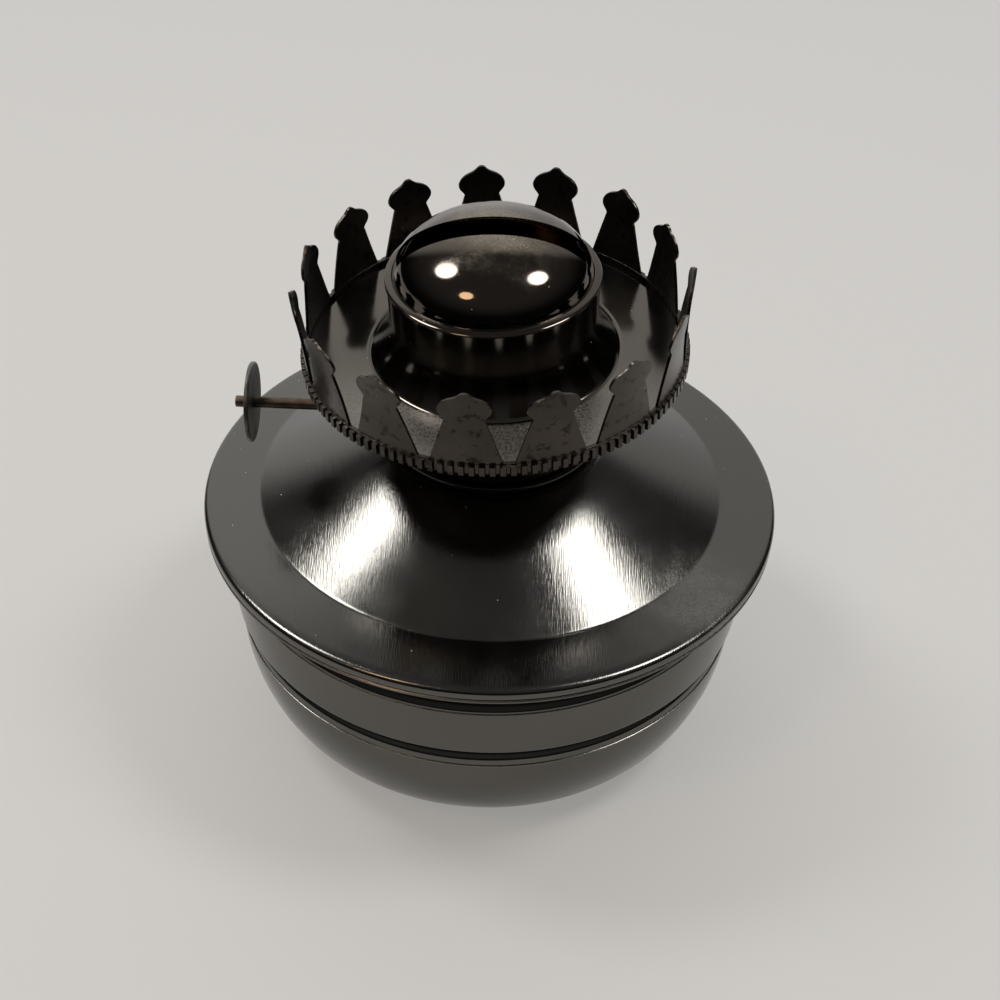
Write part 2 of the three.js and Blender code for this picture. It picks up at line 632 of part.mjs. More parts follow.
const burner = new THREE.Group();
burner.position.z = CUP_Z;
lamp.add(burner);
burner.add(piece('base_cup', baseCup(), 'nickel'));
burner.add(piece('air_basket', airBasket(), 'nickel'));
burner.add(piece('draft_disc', draftDisc(), 'brass'));
burner.add(piece('wick_tube', wickTube(), 'brass'));
burner.add(piece('wheel_box', wheelBox(), 'brass'));
const ventShell = tube(VENT_RADIUS, VENT_BORE_RADIUS, -VENT_BELOW, VENT_TOP, PIN_SIDES);
const vent = piece('vent_tube', ventShell, 'brass');
vent.position.set(VENT_X, VENT_Y, 0);
burner.add(vent);
burner.add(piece('wick', wick(), 'cotton'));

const spindle = new THREE.Group();
spindle.position.set(0, SPINDLE_Y, SPINDLE_HEIGHT);
spindle.rotation.y = Math.PI / 2;
burner.add(spindle);
spindle.add(piece('spindle_sleeve', spindleSleeve(), 'brass'));
const stubEnd = -KNOB_DISTANCE - KNOB_THICKNESS / 2 - SPINDLE_STUB;
const tailEnd = BOX_HALF_LENGTH + SPINDLE_TAIL;
spindle.add(piece('spindle_shaft', bar(SPINDLE_RADIUS, stubEnd, tailEnd, PIN_SIDES), 'spindle'));
const knobBack = -KNOB_DISTANCE - KNOB_THICKNESS / 2;
const knobFront = knobBack + KNOB_THICKNESS;
const knob = tube(KNOB_RADIUS, SPINDLE_RADIUS + FIT, knobBack, knobFront, NARROW_SIDES);
spindle.add(piece('knob_disc', knob, 'nickel'));
wheelPlaces().forEach((place, i) => {
  const wheel = piece(`ratchet_wheel_${i + 1}`, ratchetWheel(), 'brass');
  wheel.position.z = place;
  spindle.add(wheel);
});

const gallery = new THREE.Group();
burner.add(gallery);
gallery.add(piece('gallery_plate', galleryPlate(), 'gloss'));
const crown = piece('prong_crown', prongCrown(), 'gloss');
crown.position.z = CROWN_Z;
gallery.add(crown);
const dome = piece('dome_cap', domeCap(), 'gloss');
dome.position.z = DOME_Z;
gallery.add(dome);

export default lamp;
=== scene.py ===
import math
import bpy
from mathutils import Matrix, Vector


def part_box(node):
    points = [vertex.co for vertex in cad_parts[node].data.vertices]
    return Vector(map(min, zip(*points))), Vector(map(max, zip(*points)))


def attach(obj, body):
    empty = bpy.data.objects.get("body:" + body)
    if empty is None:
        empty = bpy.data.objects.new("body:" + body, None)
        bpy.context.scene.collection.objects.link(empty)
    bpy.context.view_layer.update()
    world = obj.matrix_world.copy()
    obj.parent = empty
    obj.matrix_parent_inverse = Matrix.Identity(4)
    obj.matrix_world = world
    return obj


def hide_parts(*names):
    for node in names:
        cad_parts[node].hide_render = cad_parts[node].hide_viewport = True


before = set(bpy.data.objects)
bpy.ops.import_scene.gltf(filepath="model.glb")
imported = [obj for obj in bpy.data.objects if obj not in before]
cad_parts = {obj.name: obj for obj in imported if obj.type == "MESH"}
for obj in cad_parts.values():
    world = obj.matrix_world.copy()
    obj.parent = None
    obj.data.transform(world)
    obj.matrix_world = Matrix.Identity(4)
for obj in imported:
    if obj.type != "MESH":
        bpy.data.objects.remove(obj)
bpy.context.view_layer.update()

from types import SimpleNamespace

import bmesh
import bpy
import numpy as np
from bpy.props import FloatProperty, FloatVectorProperty, IntProperty, PointerProperty
from mathutils import Matrix, Vector

bl_info = {
    "name": "Oil lamp base",
    "version": (1, 0, 0),
    "blender": (4, 5, 0),
    "location": "View3D > Sidebar > Oil lamp",
    "description": "Builds a flat-wick oil lamp base in black nickelled sheet steel",
    "category": "Add Mesh",
}

MM = 0.001
CROWN_DROP = 1.5  # millimetres from the plate's top down to the crown's foot
WELD = 1e-6  # metres under which two corners are one
SHARP_DEGREES = 38  # an edge that turns more than this is drawn crisp
ROUNDING_STEPS = 6  # points on each rounded corner
ROUND_SIDES = 288


def linear(value):
    """An sRGB hex colour such as 0x4A4845 as a linear colour with alpha."""
    parts = np.array([value >> 16 & 255, value >> 8 & 255, value & 255]) / 255
    curve = np.where(parts <= 0.04045, parts / 12.92, ((parts + 0.055) / 1.055) ** 2.4)
    return (*(float(x) for x in curve), 1.0)


def size(name, mm, what):
    """A length property whose default is written in millimetres."""
    return FloatProperty(name=name, description=what, default=mm * MM, min=0, precision=5, unit="LENGTH")


def tilt(name, degrees, what):
    """An angle property whose default is written in degrees."""
    return FloatProperty(name=name, description=what, default=math.radians(degrees), subtype="ANGLE")


def paint(name, value, what):
    """A colour property whose default is an sRGB hex value."""
    return FloatVectorProperty(
        name=name, description=what, size=4, min=0, max=1, subtype="COLOR", default=linear(value)
    )


class LampFontSizes(bpy.types.PropertyGroup):
    """The oil font: a drawn bowl and the top that is rolled over its lip."""

    sheet: size("Sheet", 0.6, "Thickness of the font's sheet")
    fit: size("Fit", 0.3, "Clearance between neighbouring pieces")
    rim_radius: size("Rim radius", 63.7, "Outside of the rolled rim")
    rim_height: size("Rim height", 56.4, "From the floor to the plane of the shoulder's edge")
    rim_round: size("Rim round", 1.4, "Rounding from the shoulder over into the rim")
    rim_depth: size("Rim depth", 2.2, "From the shoulder's plane to the rim's lower edge")
    lip: size("Lip", 0.8, "Thickness of the bowl's lip under the rim")
    lip_spigot: size("Lip spigot", 1, "How far the bowl stands up inside the rim")
    neck_radius: size("Neck radius", 57.2, "The bowl just under its lip")
    neck_height: size("Neck height", 6.3, "Upright stretch under the lip")
    body_radius: size("Body radius", 58.6, "Upright band of the bowl")
    band_top_depth: size("Band top", 12.2, "From the shoulder's plane to the band's upper edge")
    band_height: size("Band height", 11.6, "Height of the upright band")
    step_in: size("Step in", 1, "The flank's top edge inside the band")
    groove_depth: size("Groove depth", 2.4, "Depth of the rolled groove below the band")
    groove_height: size("Groove height", 5.4, "Height of that groove")
    ledge: size("Ledge", 0.25, "Fine turned ledge on the band's and the flank's upper edges")
    foot_radius: size("Foot radius", 41, "Outside of the ring that the lamp stands on")
    foot_width: size("Foot width", 7, "Width of that ring")
    foot_recess: size("Foot recess", 1.6, "How far the middle of the base is pressed up")
    shoulder_rise: size("Shoulder rise", 1.9, "From the rim's plane up to the crease")
    shoulder_width: size("Shoulder width", 12.3, "From the rim's outside in to the crease")
    cone_rise: size("Cone rise", 14.2, "From the crease up to the land round the mouth")
    cone_top_radius: size("Cone top radius", 24.6, "Edge of that land")
    collar_bore: size("Collar bore", 15.9, "Inside radius of the threaded collar")
    collar_wall: size("Collar wall", 1.5, "Thickness of the collar's neck")
    collar_flange: size("Collar flange", 23.4, "Radius of the collar's flange")
    collar_flange_height: size("Collar flange height", 1.2, "Thickness of that flange")
    collar_depth: size("Collar depth", 4.5, "Length of the collar's neck below its flange")


class LampBurnerSizes(bpy.types.PropertyGroup):
    """The burner below the gallery: cup, basket, wick, spindle and knob."""

    sheet: size("Sheet", 0.6, "Thickness of the burner's sheet")
    cup_radius: size("Cup radius", 22.3, "Outside of the cup")
    cup_height: size("Cup height", 3.6, "Height of the cup's wall")
    thread_length: size("Thread length", 6.2, "Length of the threaded skirt")
    thread_pitch: size("Thread pitch", 1.8, "Rise of the thread in one turn")
    thread_depth: size("Thread depth", 0.35, "Depth of the thread")
    basket_radius: size("Basket radius", 20.6, "Outside of the air basket")
    basket_top: size("Basket top", 26, "Its top above the cup's seat")
    bead_radius: size("Bead radius", 24.4, "Bead round the basket that carries the gallery")
    bead_top: size("Bead top", 19.1, "Its top above the cup's seat")
    bead_height: size("Bead height", 2.2, "Height of that bead")
    air_hole: size("Air hole", 1.6, "Radius of an air hole")
    air_row: size("Air row", 6.6, "Middle of the lower row of holes above the cup's seat")
    air_step: size("Air step", 6.2, "From one row of holes to the next")
    air_holes: IntProperty(name="Air holes", description="Holes in each row", default=12, min=3)
    wick_width: size("Wick width", 25, "Width of the flat wick")
    wick_pitch: size("Wick pitch", 1.5, "From one rib of the braid to the next")
    spindle_radius: size("Spindle radius", 1.25, "Radius of the spindle")
    knob_radius: size("Knob radius", 8.5, "Radius of the knob's disc")


class LampGallerySizes(bpy.types.PropertyGroup):
    """The gallery: plate with its throat, crown of prongs, and dome."""

    sheet: size("Sheet", 0.6, "Thickness of the gallery's sheet")
    crown_radius: size("Crown radius", 40.5, "Over the ridges of the flutes")
    flute_depth: size("Flute depth", 0.7, "Depth of the flutes")
    flutes: IntProperty(name="Flutes", description="Flutes round the crown's band", default=125, min=12)
    band_height: size("Band height", 2.7, "Height of the fluted band")
    lip_width: size("Lip width", 2.6, "Lip that the band turns in below the plate")
    prongs: IntProperty(name="Prongs", description="Prongs round the crown", default=15, min=3)
    prong_phase: tilt("Prong phase", 17.5, "From the front to the middle of the first prong")
    prong_height: size("Prong height", 17.4, "Height of a prong above the band")
    prong_root: size("Prong root", 14.4, "Width of a prong where it leaves the band")
    prong_neck: size("Prong neck", 7.9, "Width of a prong's neck")
    prong_neck_height: size("Neck height", 10.6, "Height of the neck above the band")
    prong_head: size("Prong head", 10.2, "Greatest width of a prong's head")
    prong_lean: size("Prong lean", 0.8, "How far the tips lean out")
    plate_radius: size("Plate radius", 38.95, "Edge of the plate")
    throat_radius: size("Throat radius", 21.5, "Outside of the throat")
    throat_flare: size("Throat flare", 4.2, "How far the throat flares out at its foot")
    flare_height: size("Flare height", 9, "Height of that flare")
    throat_height: size("Throat height", 17, "From the plate's top to the throat's mouth")
    dome_flange: size("Dome flange", 22, "Radius of the dome's flange")
    dome_radius: size("Dome radius", 20.1, "Radius of the dome's foot")
    dome_height: size("Dome height", 10.88, "Height of the dome above its flange")
    dome_spigot: size("Dome spigot", 2.4, "How far the dome reaches down into the throat")
    slot_width: size("Slot width", 6.6, "Width of the slot for the flame")
    slot_floor: size("Slot floor", 0.2, "Ends of the slot above the dome's flange")
    lean_front: tilt("Lean to the front", 2.5, "How far the used gallery leans to the front")
    lean_left: tilt("Lean to the left", 2.8, "How far the used gallery leans to the left")


class LampFinishes(bpy.types.PropertyGroup):
    """Colours of the finishes."""

    nickel: paint("Black nickel", 0x62605C, "Black nickel on the font")
    gallery_nickel: paint("Gallery nickel", 0x5D5852, "Black nickel on the plate and throat")
    strip_nickel: paint("Strip nickel", 0x47423D, "Thin black nickel on the crown's stamped strip")
    bloom: paint("Bloom", 0xB3A88F, "Brown bloom that the flame leaves on the dome")
    dome_nickel: paint("Dome nickel", 0x554E48, "Warmer, heat-touched nickel of the dome")
    knob_nickel: paint("Knob nickel", 0x6C6A67, "Dull grey worn plate on the knob")
    bronze: paint("Bronze", 0x6E6158, "Darkened bronze of the spindle")
    braze: paint("Braze", 0xC08A66, "Copper-coloured braze at the knob's hub")
    brass: paint("Brass", 0xB08D57, "Plain brass of the hidden works")
    cotton: paint("Cotton", 0xD8CFBB, "Undyed cotton of the wick")
    char: paint("Char", 0x17130F, "Charred end of the wick")
    dust: paint("Dust", 0xC9C4BA, "Dust and dry haze on the metal")


class LampStage(bpy.types.PropertyGroup):
    """Floor, light and camera."""

    floor: paint("Floor", 0xCBC9C6, "Plain pale floor")
    sky: FloatProperty(name="Sky", description="Brightness of the pale side of the room", default=1.05, min=0)
    shade: FloatProperty(name="Shade", description="Brightness of the rest of the room", default=0.15, min=0)
    lens: FloatProperty(
        name="Lens", description="Focal length", default=54, min=10, subtype="DISTANCE_CAMERA"
    )
    elevation: tilt("Elevation", 40.11, "Camera above the horizon")
    roll: tilt("Roll", 2.24, "Turn of the camera about its own line of sight")
    distance: size("Distance", 329.08, "From the camera's plane to the point it is aimed by")


def in_mm(group):
    """The lengths of a property group in millimetres, and its counts, under their own names. Angles are read
    from the group itself."""
    values = {key: getattr(group, key) for key in type(group).__annotations__}
    return SimpleNamespace(**{k: v if isinstance(v, int) else v / MM for k, v in values.items()})


def all_sizes():
    """The sizes of the font, the burner and the gallery in millimetres."""
    scene = bpy.context.scene
    return in_mm(scene.lamp_font), in_mm(scene.lamp_burner), in_mm(scene.lamp_gallery)


def heights():
    """Heights of the main planes in millimetres: the land round the font's mouth, the cup's seat, the plate's
    top, the crown's foot and the dome's seat."""
    font, burner, gallery = all_sizes()
    land = font.rim_height + font.shoulder_rise + font.cone_rise
    seat = land + font.fit + font.collar_flange_height + font.fit
    plate = seat + burner.bead_top + font.fit + gallery.sheet
    dome = plate + gallery.throat_height + font.fit
    return SimpleNamespace(land=land, seat=seat, plate=plate, crown=plate - CROWN_DROP, dome=dome)


# Sections and surfaces


def rounded(corners, closed=False):
    """A section through corners [r, z, rounding] in millimetres. Each corner gives way to the parabola that
    leaves the straight run its rounding before the corner and joins the next one as far after it."""
    table = np.array(corners, float)
    here, reach = table[:, :2], table[:, 2:3]
    before, after = np.roll(here, 1, 0) - here, np.roll(here, -1, 0) - here
    long_before = np.linalg.norm(before, axis=1, keepdims=True)
    long_after = np.linalg.norm(after, axis=1, keepdims=True)
    start = here + before * np.minimum(reach / long_before, 0.49)
    end = here + after * np.minimum(reach / long_after, 0.49)
    t = np.linspace(0, 1, ROUNDING_STEPS)[:, None, None]
    curve = (1 - t) ** 2 * start + 2 * t * (1 - t) * here + t**2 * end
    path = curve.transpose(1, 0, 2).reshape(-1, 2)
    if not closed:
        path = np.concatenate([here[:1], path[ROUNDING_STEPS:-ROUNDING_STEPS], here[-1:]])
    apart = np.linalg.norm(np.diff(path, axis=0), axis=1) > WELD / MM
    return path[np.concatenate([[True], apart])]


def subdivided(path, step):
    """The same section with more points, none further than step apart along it."""
    long = np.concatenate([[0], np.cumsum(np.linalg.norm(np.diff(path, axis=0), axis=1))])
    at = np.unique(np.concatenate([long, np.arange(0, long[-1], step)]).round(6))
    return np.stack([np.interp(at, long, path[:, 0]), np.interp(at, long, path[:, 1])], -1)


def other_face(path, thickness):
    """The path moved to its left by the thickness, along the mean of the normals on each side of a point."""
    run = np.diff(path, axis=0)
    run /= np.linalg.norm(run, axis=1, keepdims=True)
    into, out = np.concatenate([run[:1], run]), np.concatenate([run, run[-1:]])
    across = np.stack([-(into + out)[:, 1], (into + out)[:, 0]], -1)
    across /= np.linalg.norm(across, axis=1, keepdims=True)
    stretch = 1 / np.sqrt(np.clip((1 + (into * out).sum(1)) / 2, 0.3, 1))
    moved = path + across * thickness * stretch[:, None]
    moved[path[:, 0] == 0, 0] = 0
    return moved


def sheet_section(path, thickness):
    """A ring section: the path, then its other face back again."""
    return np.concatenate([path, other_face(path, thickness)[::-1]])


def even(sides):
    """The angles of that many equal steps round a full turn."""
    return np.linspace(0, 2 * np.pi, sides, endpoint=False)


def swept(r, angle, z):
    """The points (r sin a, -r cos a, z) for matching radii, angles and heights, in millimetres."""
    return np.stack([r * np.sin(angle), -r * np.cos(angle), z + 0 * angle], -1)


def turned(section, angles=even(ROUND_SIDES), ripple=None):
    """The section turned through the angles, in metres. ripple(a, r, z), where given, adds to the radius."""
    angle = angles[None, :]
    r, z = section[:, :1] + 0 * angle, section[:, 1:] + 0 * angle
    if ripple is not None:
        r = r + ripple(angle, r, z)
    return swept(r, angle, z) * MM


def raised(grid, height):
    """The surface moved up by that many millimetres."""
    return grid + np.array([0, 0, height * MM])


def leaning(points):
    """The points turned about the axis at the crown's foot by the gallery's lean: to the front, then left."""
    gallery = bpy.context.scene.lamp_gallery
    front, left = gallery.lean_front, -gallery.lean_left
    middle = np.array([0, 0, heights().crown * MM])
    x, y, z = np.moveaxis(points - middle, -1, 0)
    y, z = y * np.cos(front) - z * np.sin(front), y * np.sin(front) + z * np.cos(front)
    x, z = x * np.cos(left) + z * np.sin(left), -x * np.sin(left) + z * np.cos(left)
    return np.stack([x, y, z], -1) + middle


def quads(rows, columns, wrap_rows, wrap_columns, first):
    """Corner numbers of the faces between neighbouring points of a grid, from number first on."""
    down = np.arange(rows if wrap_rows else rows - 1)
    across = np.arange(columns if wrap_columns else columns - 1)
    i, j = np.meshgrid(down, across, indexing="ij")
    next_i, next_j = (i + 1) % rows, (j + 1) % columns
    corners = [i * columns + j, i * columns + next_j, next_i * columns + next_j, next_i * columns + j]
    return first + np.stack(corners, -1).reshape(-1, 4)


def make_piece(name, surfaces, body, nodes, look):
    """One object from grids of points, with the named finish. Each surface is (points, wrap rows, wrap
    columns). Shared corners are welded, so seams and poles close, and every closed shell faces outwards."""
    points, faces, first = [], [], 0
    for grid, wrap_rows, wrap_columns in surfaces:
        rows, columns = grid.shape[:2]
        points.append(grid.reshape(-1, 3))
        faces.append(quads(rows, columns, wrap_rows, wrap_columns, first))
        first += rows * columns
    mesh = bpy.data.meshes.new(name)
    mesh.from_pydata(np.concatenate(points).tolist(), [], np.concatenate(faces).tolist())
    work = bmesh.new()
    work.from_mesh(mesh)
    bmesh.ops.remove_doubles(work, verts=work.verts, dist=WELD)
    bmesh.ops.dissolve_degenerate(work, edges=work.edges, dist=WELD)
    bmesh.ops.recalc_face_normals(work, faces=work.faces)
    work.to_mesh(mesh)
    work.free()
    mesh.polygons.foreach_set("use_smooth", np.ones(len(mesh.polygons), bool))
    mesh.set_sharp_from_angle(angle=math.radians(SHARP_DEGREES))
    mesh.materials.append(finish(look))
    piece = bpy.data.objects.new(name, mesh)
    bpy.context.scene.collection.objects.link(piece)
    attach(piece, body)
    if nodes:
        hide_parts(*nodes)
    return piece


# Materials

MATH, VECTOR, RANGE = "ShaderNodeMath", "ShaderNodeVectorMath", "ShaderNodeMapRange"
MIX, NOISE, PLACE = "ShaderNodeMix", "ShaderNodeTexNoise", "ShaderNodeMapping"
BUMP, SHADER, PART = "ShaderNodeBump", "ShaderNodeBsdfPrincipled", "ShaderNodeSeparateXYZ"
SOFT = {"interpolation_type": "SMOOTHSTEP"}
BLEND = {"data_type": "RGBA", "out": 2}  # output 2 of a Mix node is its colour

# Sizes of the patterns in millimetres, most of them as one over how many fit in a millimetre
GRAIN_WIDTH = 1 / 4.4  # rolling grain is really some 0.05 mm wide; drawn coarser, so that it shows
GRAIN_LENGTH = 1 / 0.3  # its fibres run along Y, as the sheet was rolled, and up the slopes
PATCH = 1 / 0.11  # soft patches of more and less polish, about 9 mm
STAIN = 1 / 0.45  # small dark stains, about 2 mm
GRIT = 1 / 2.2  # breaks up the worn places; real scratches are finer, and are drawn coarser to show
CLOUD = 1 / 0.16  # ragged edge of a worn spot, about 6 mm
SPECK_SPACING, SPECK_RADIUS = 2.4, 0.12  # specks of dust; most real dust is finer, and is drawn coarser
TARNISH = 1 / 0.29  # clouds of tarnish on bare metal, about 3.5 mm
TURNING = 1 / 3.3  # turning marks are really about 0.1 mm apart; drawn coarser to show
YARN_SHADE = 1 / 0.7  # uneven tone along cotton yarn, about 1.4 mm
LINT = 0.25  # fuzz of the yarn; real fibres are some 0.02 mm thick, and are drawn coarser


def add(tree, kind, inputs, out=0, **settings):
    """Adds a node and returns one of its outputs. settings are the node's own properties. inputs gives each
    socket, by name or number, its value or the output that feeds it."""
    new = tree.nodes.new(kind)
    for key, value in settings.items():
        setattr(new, key, value)
    for key, value in inputs.items():
        if isinstance(value, bpy.types.NodeSocket):
            tree.links.new(value, new.inputs[key])
        else:
            new.inputs[key].default_value = value
    return new.outputs[out] if new.outputs else None


def material_of(name, build):
    """A material whose surface is what build(tree, mm) returns; mm is the place in millimetres."""
    material = bpy.data.materials.new(name)
    material.use_nodes = True
    tree = material.node_tree
    tree.nodes.clear()
    place = add(tree, "ShaderNodeTexCoord", {}, "Object")
    mm = add(tree, PLACE, {"Vector": place, "Scale": (1 / MM, 1 / MM, 1 / MM)})
    add(tree, "ShaderNodeOutputMaterial", {"Surface": build(tree, mm)})
    return material


def darker(colour, share):
    """The colour times that share."""
    return (*(share * c for c in colour[:3]), 1)


def specks(tree, mm, share):
    """1 inside small round specks in that share of the cells of a Voronoi pattern."""
    near = add(tree, "ShaderNodeTexVoronoi", {"Vector": mm, "Scale": 1 / SPECK_SPACING}, "Distance")
    pick = add(tree, "ShaderNodeSeparateColor", {"Color": near.node.outputs["Color"]})
    inside = add(tree, MATH, {0: near, 1: SPECK_RADIUS / SPECK_SPACING}, operation="LESS_THAN")
    chosen = add(tree, MATH, {0: pick, 1: share}, operation="LESS_THAN")
    return add(tree, MATH, {0: inside, 1: chosen}, operation="MULTIPLY")


def near_spot(tree, mm, place, reach):
    """1 at a place in millimetres, softly down to 0 at that reach from it, with a cloudy edge."""
    away = add(tree, VECTOR, {0: mm, 1: place}, "Value", operation="DISTANCE")
    cloudy = add(tree, NOISE, {"Vector": mm, "Scale": 1 / CLOUD, "Detail": 6, "Roughness": 0.65})
    ragged = add(tree, MATH, {0: cloudy, 1: 1.4 * reach, 2: away}, operation="MULTIPLY_ADD")
    return add(tree, RANGE, {"Value": ragged, "From Min": 1.7 * reach, "From Max": 0.7 * reach}, **SOFT)


def ridges(tree, mm, levels, half):
    """1 within half, in millimetres, of the given heights: the ridges that handling rubs bright, where a
    pale painted highlight line goes too.
    """
    z = add(tree, PART, {"Vector": mm}, "Z")
    total = 0.0
    for level in levels:
        here = add(tree, MATH, {0: z, 1: level, 2: half}, operation="COMPARE")
        total = add(tree, MATH, {0: here, 1: total}, operation="MAXIMUM")
    return total


def metal(
    name, colour, polish, dust, grain, wander=0.05, specked=0.0, stained=0.0, worn=None, satin=0.3, film=0.22
):
    """Plated sheet metal. polish is its roughness, which wanders in soft patches; dust is the colour of what
    lies on it; grain is the depth of the rolling grain in micrometres; specked is the share of cells with a
    speck of dust; stained is how dark the small stains go. worn(tree, mm) is where the plate has gone satin:
    satin is how much rougher it is there, and film is how much of it a dry haze covers. On the bowl's ridges
    that pale haze is also a painted highlight."""
    colour, dust = tuple(colour), tuple(dust)

    def build(tree, mm):
        run = (1 / GRAIN_WIDTH, 1 / GRAIN_LENGTH, 1 / GRAIN_LENGTH)
        along = add(tree, PLACE, {"Vector": mm, "Scale": run})
        fibre = add(tree, NOISE, {"Vector": along, "Scale": 1, "Detail": 1.5, "Roughness": 0.55})
        patch = add(tree, NOISE, {"Vector": mm, "Scale": 1 / PATCH, "Detail": 4})
        span = {"From Min": 0.35, "From Max": 0.65, "To Min": polish, "To Max": polish + wander}
        rough = add(tree, RANGE, {"Value": patch, **span}, **SOFT)
        stain = add(tree, NOISE, {"Vector": mm, "Scale": 1 / STAIN, "Detail": 6, "Roughness": 0.6})
        span = {"From Min": 0.54, "From Max": 0.66, "To Max": stained}
        dark = add(tree, RANGE, {"Value": stain, **span}, **SOFT)
        base = add(tree, MIX, {"Factor": dark, "A": colour, "B": darker(colour, 0.3)}, **BLEND)
        coat = white = specks(tree, mm, specked)
        if worn:
            fine = add(tree, NOISE, {"Vector": mm, "Scale": 1 / GRIT, "Detail": 5, "Roughness": 0.7})
            span = {"From Min": 0.3, "From Max": 0.65, "To Min": 0.3}
            broken = add(tree, RANGE, {"Value": fine, **span}, **SOFT)
            dull = add(tree, MATH, {0: worn(tree, mm), 1: broken}, operation="MULTIPLY")
            rough = add(tree, MATH, {0: dull, 1: satin, 2: rough}, operation="MULTIPLY_ADD")
            # Pale haze in the dust colour; on the bowl's ridges it is a painted highlight.
            pale = add(tree, MATH, {0: dull, 1: film}, operation="MULTIPLY")
            base = add(tree, MIX, {"Factor": pale, "A": base, "B": dust}, **BLEND)
            coat = add(tree, MATH, {0: pale, 1: white}, operation="MAXIMUM")
        base = add(tree, MIX, {"Factor": white, "A": base, "B": dust}, **BLEND)
        rough = add(tree, MATH, {0: rough, 1: white}, operation="MAXIMUM")
        bare = add(tree, MATH, {0: 1.0, 1: coat}, operation="SUBTRACT")
        bump = add(tree, BUMP, {"Height": fibre, "Distance": grain / 1000 * MM})
        return add(tree, SHADER, {"Base Color": base, "Metallic": bare, "Roughness": rough, "Normal": bump})

    return material_of(name, build)


def plain_metal(name, colour, rough, wander):
    """Unplated metal of the works: a soft wandering tarnish over fine turning marks."""
    colour = tuple(colour)

    def build(tree, mm):
        patch = add(tree, NOISE, {"Vector": mm, "Scale": 1 / TARNISH, "Detail": 4})
        tarnish = add(tree, RANGE, {"Value": patch, "From Min": 0.4, "From Max": 0.7}, **SOFT)
        base = add(tree, MIX, {"Factor": tarnish, "A": colour, "B": darker(colour, 0.45)}, **BLEND)
        uneven = add(tree, MATH, {0: patch, 1: wander, 2: rough}, operation="MULTIPLY_ADD")
        marks = add(tree, NOISE, {"Vector": mm, "Scale": 1 / TURNING, "Detail": 4})
        bump = add(tree, BUMP, {"Height": marks, "Distance": 0.004 * MM})
        return add(tree, SHADER, {"Base Color": base, "Metallic": 1, "Roughness": uneven, "Normal": bump})

    return material_of(name, build)


def braided_cotton(name, cotton, char, burnt_from):
    """Braided cotton: pale yarn that darkens to char above the height burnt_from, in millimetres."""

    def build(tree, mm):
        height = add(tree, PART, {"Vector": mm}, "Z")
        soft = add(tree, NOISE, {"Vector": mm, "Scale": 1 / YARN_SHADE, "Detail": 4})
        ragged = add(tree, MATH, {0: soft, 1: 3.0, 2: height}, operation="MULTIPLY_ADD")
        span = {"From Min": burnt_from, "From Max": burnt_from + 4}
        burnt = add(tree, RANGE, {"Value": ragged, **span}, **SOFT)
        base = add(tree, MIX, {"Factor": burnt, "A": tuple(cotton), "B": tuple(char)}, **BLEND)
        lint = add(tree, NOISE, {"Vector": mm, "Scale": 1 / LINT, "Detail": 2})
        bump = add(tree, BUMP, {"Height": lint, "Distance": 0.06 * MM})
        return add(tree, SHADER, {"Base Color": base, "Roughness": 0.95, "Sheen Weight": 0.3, "Normal": bump})

    return material_of(name, build)


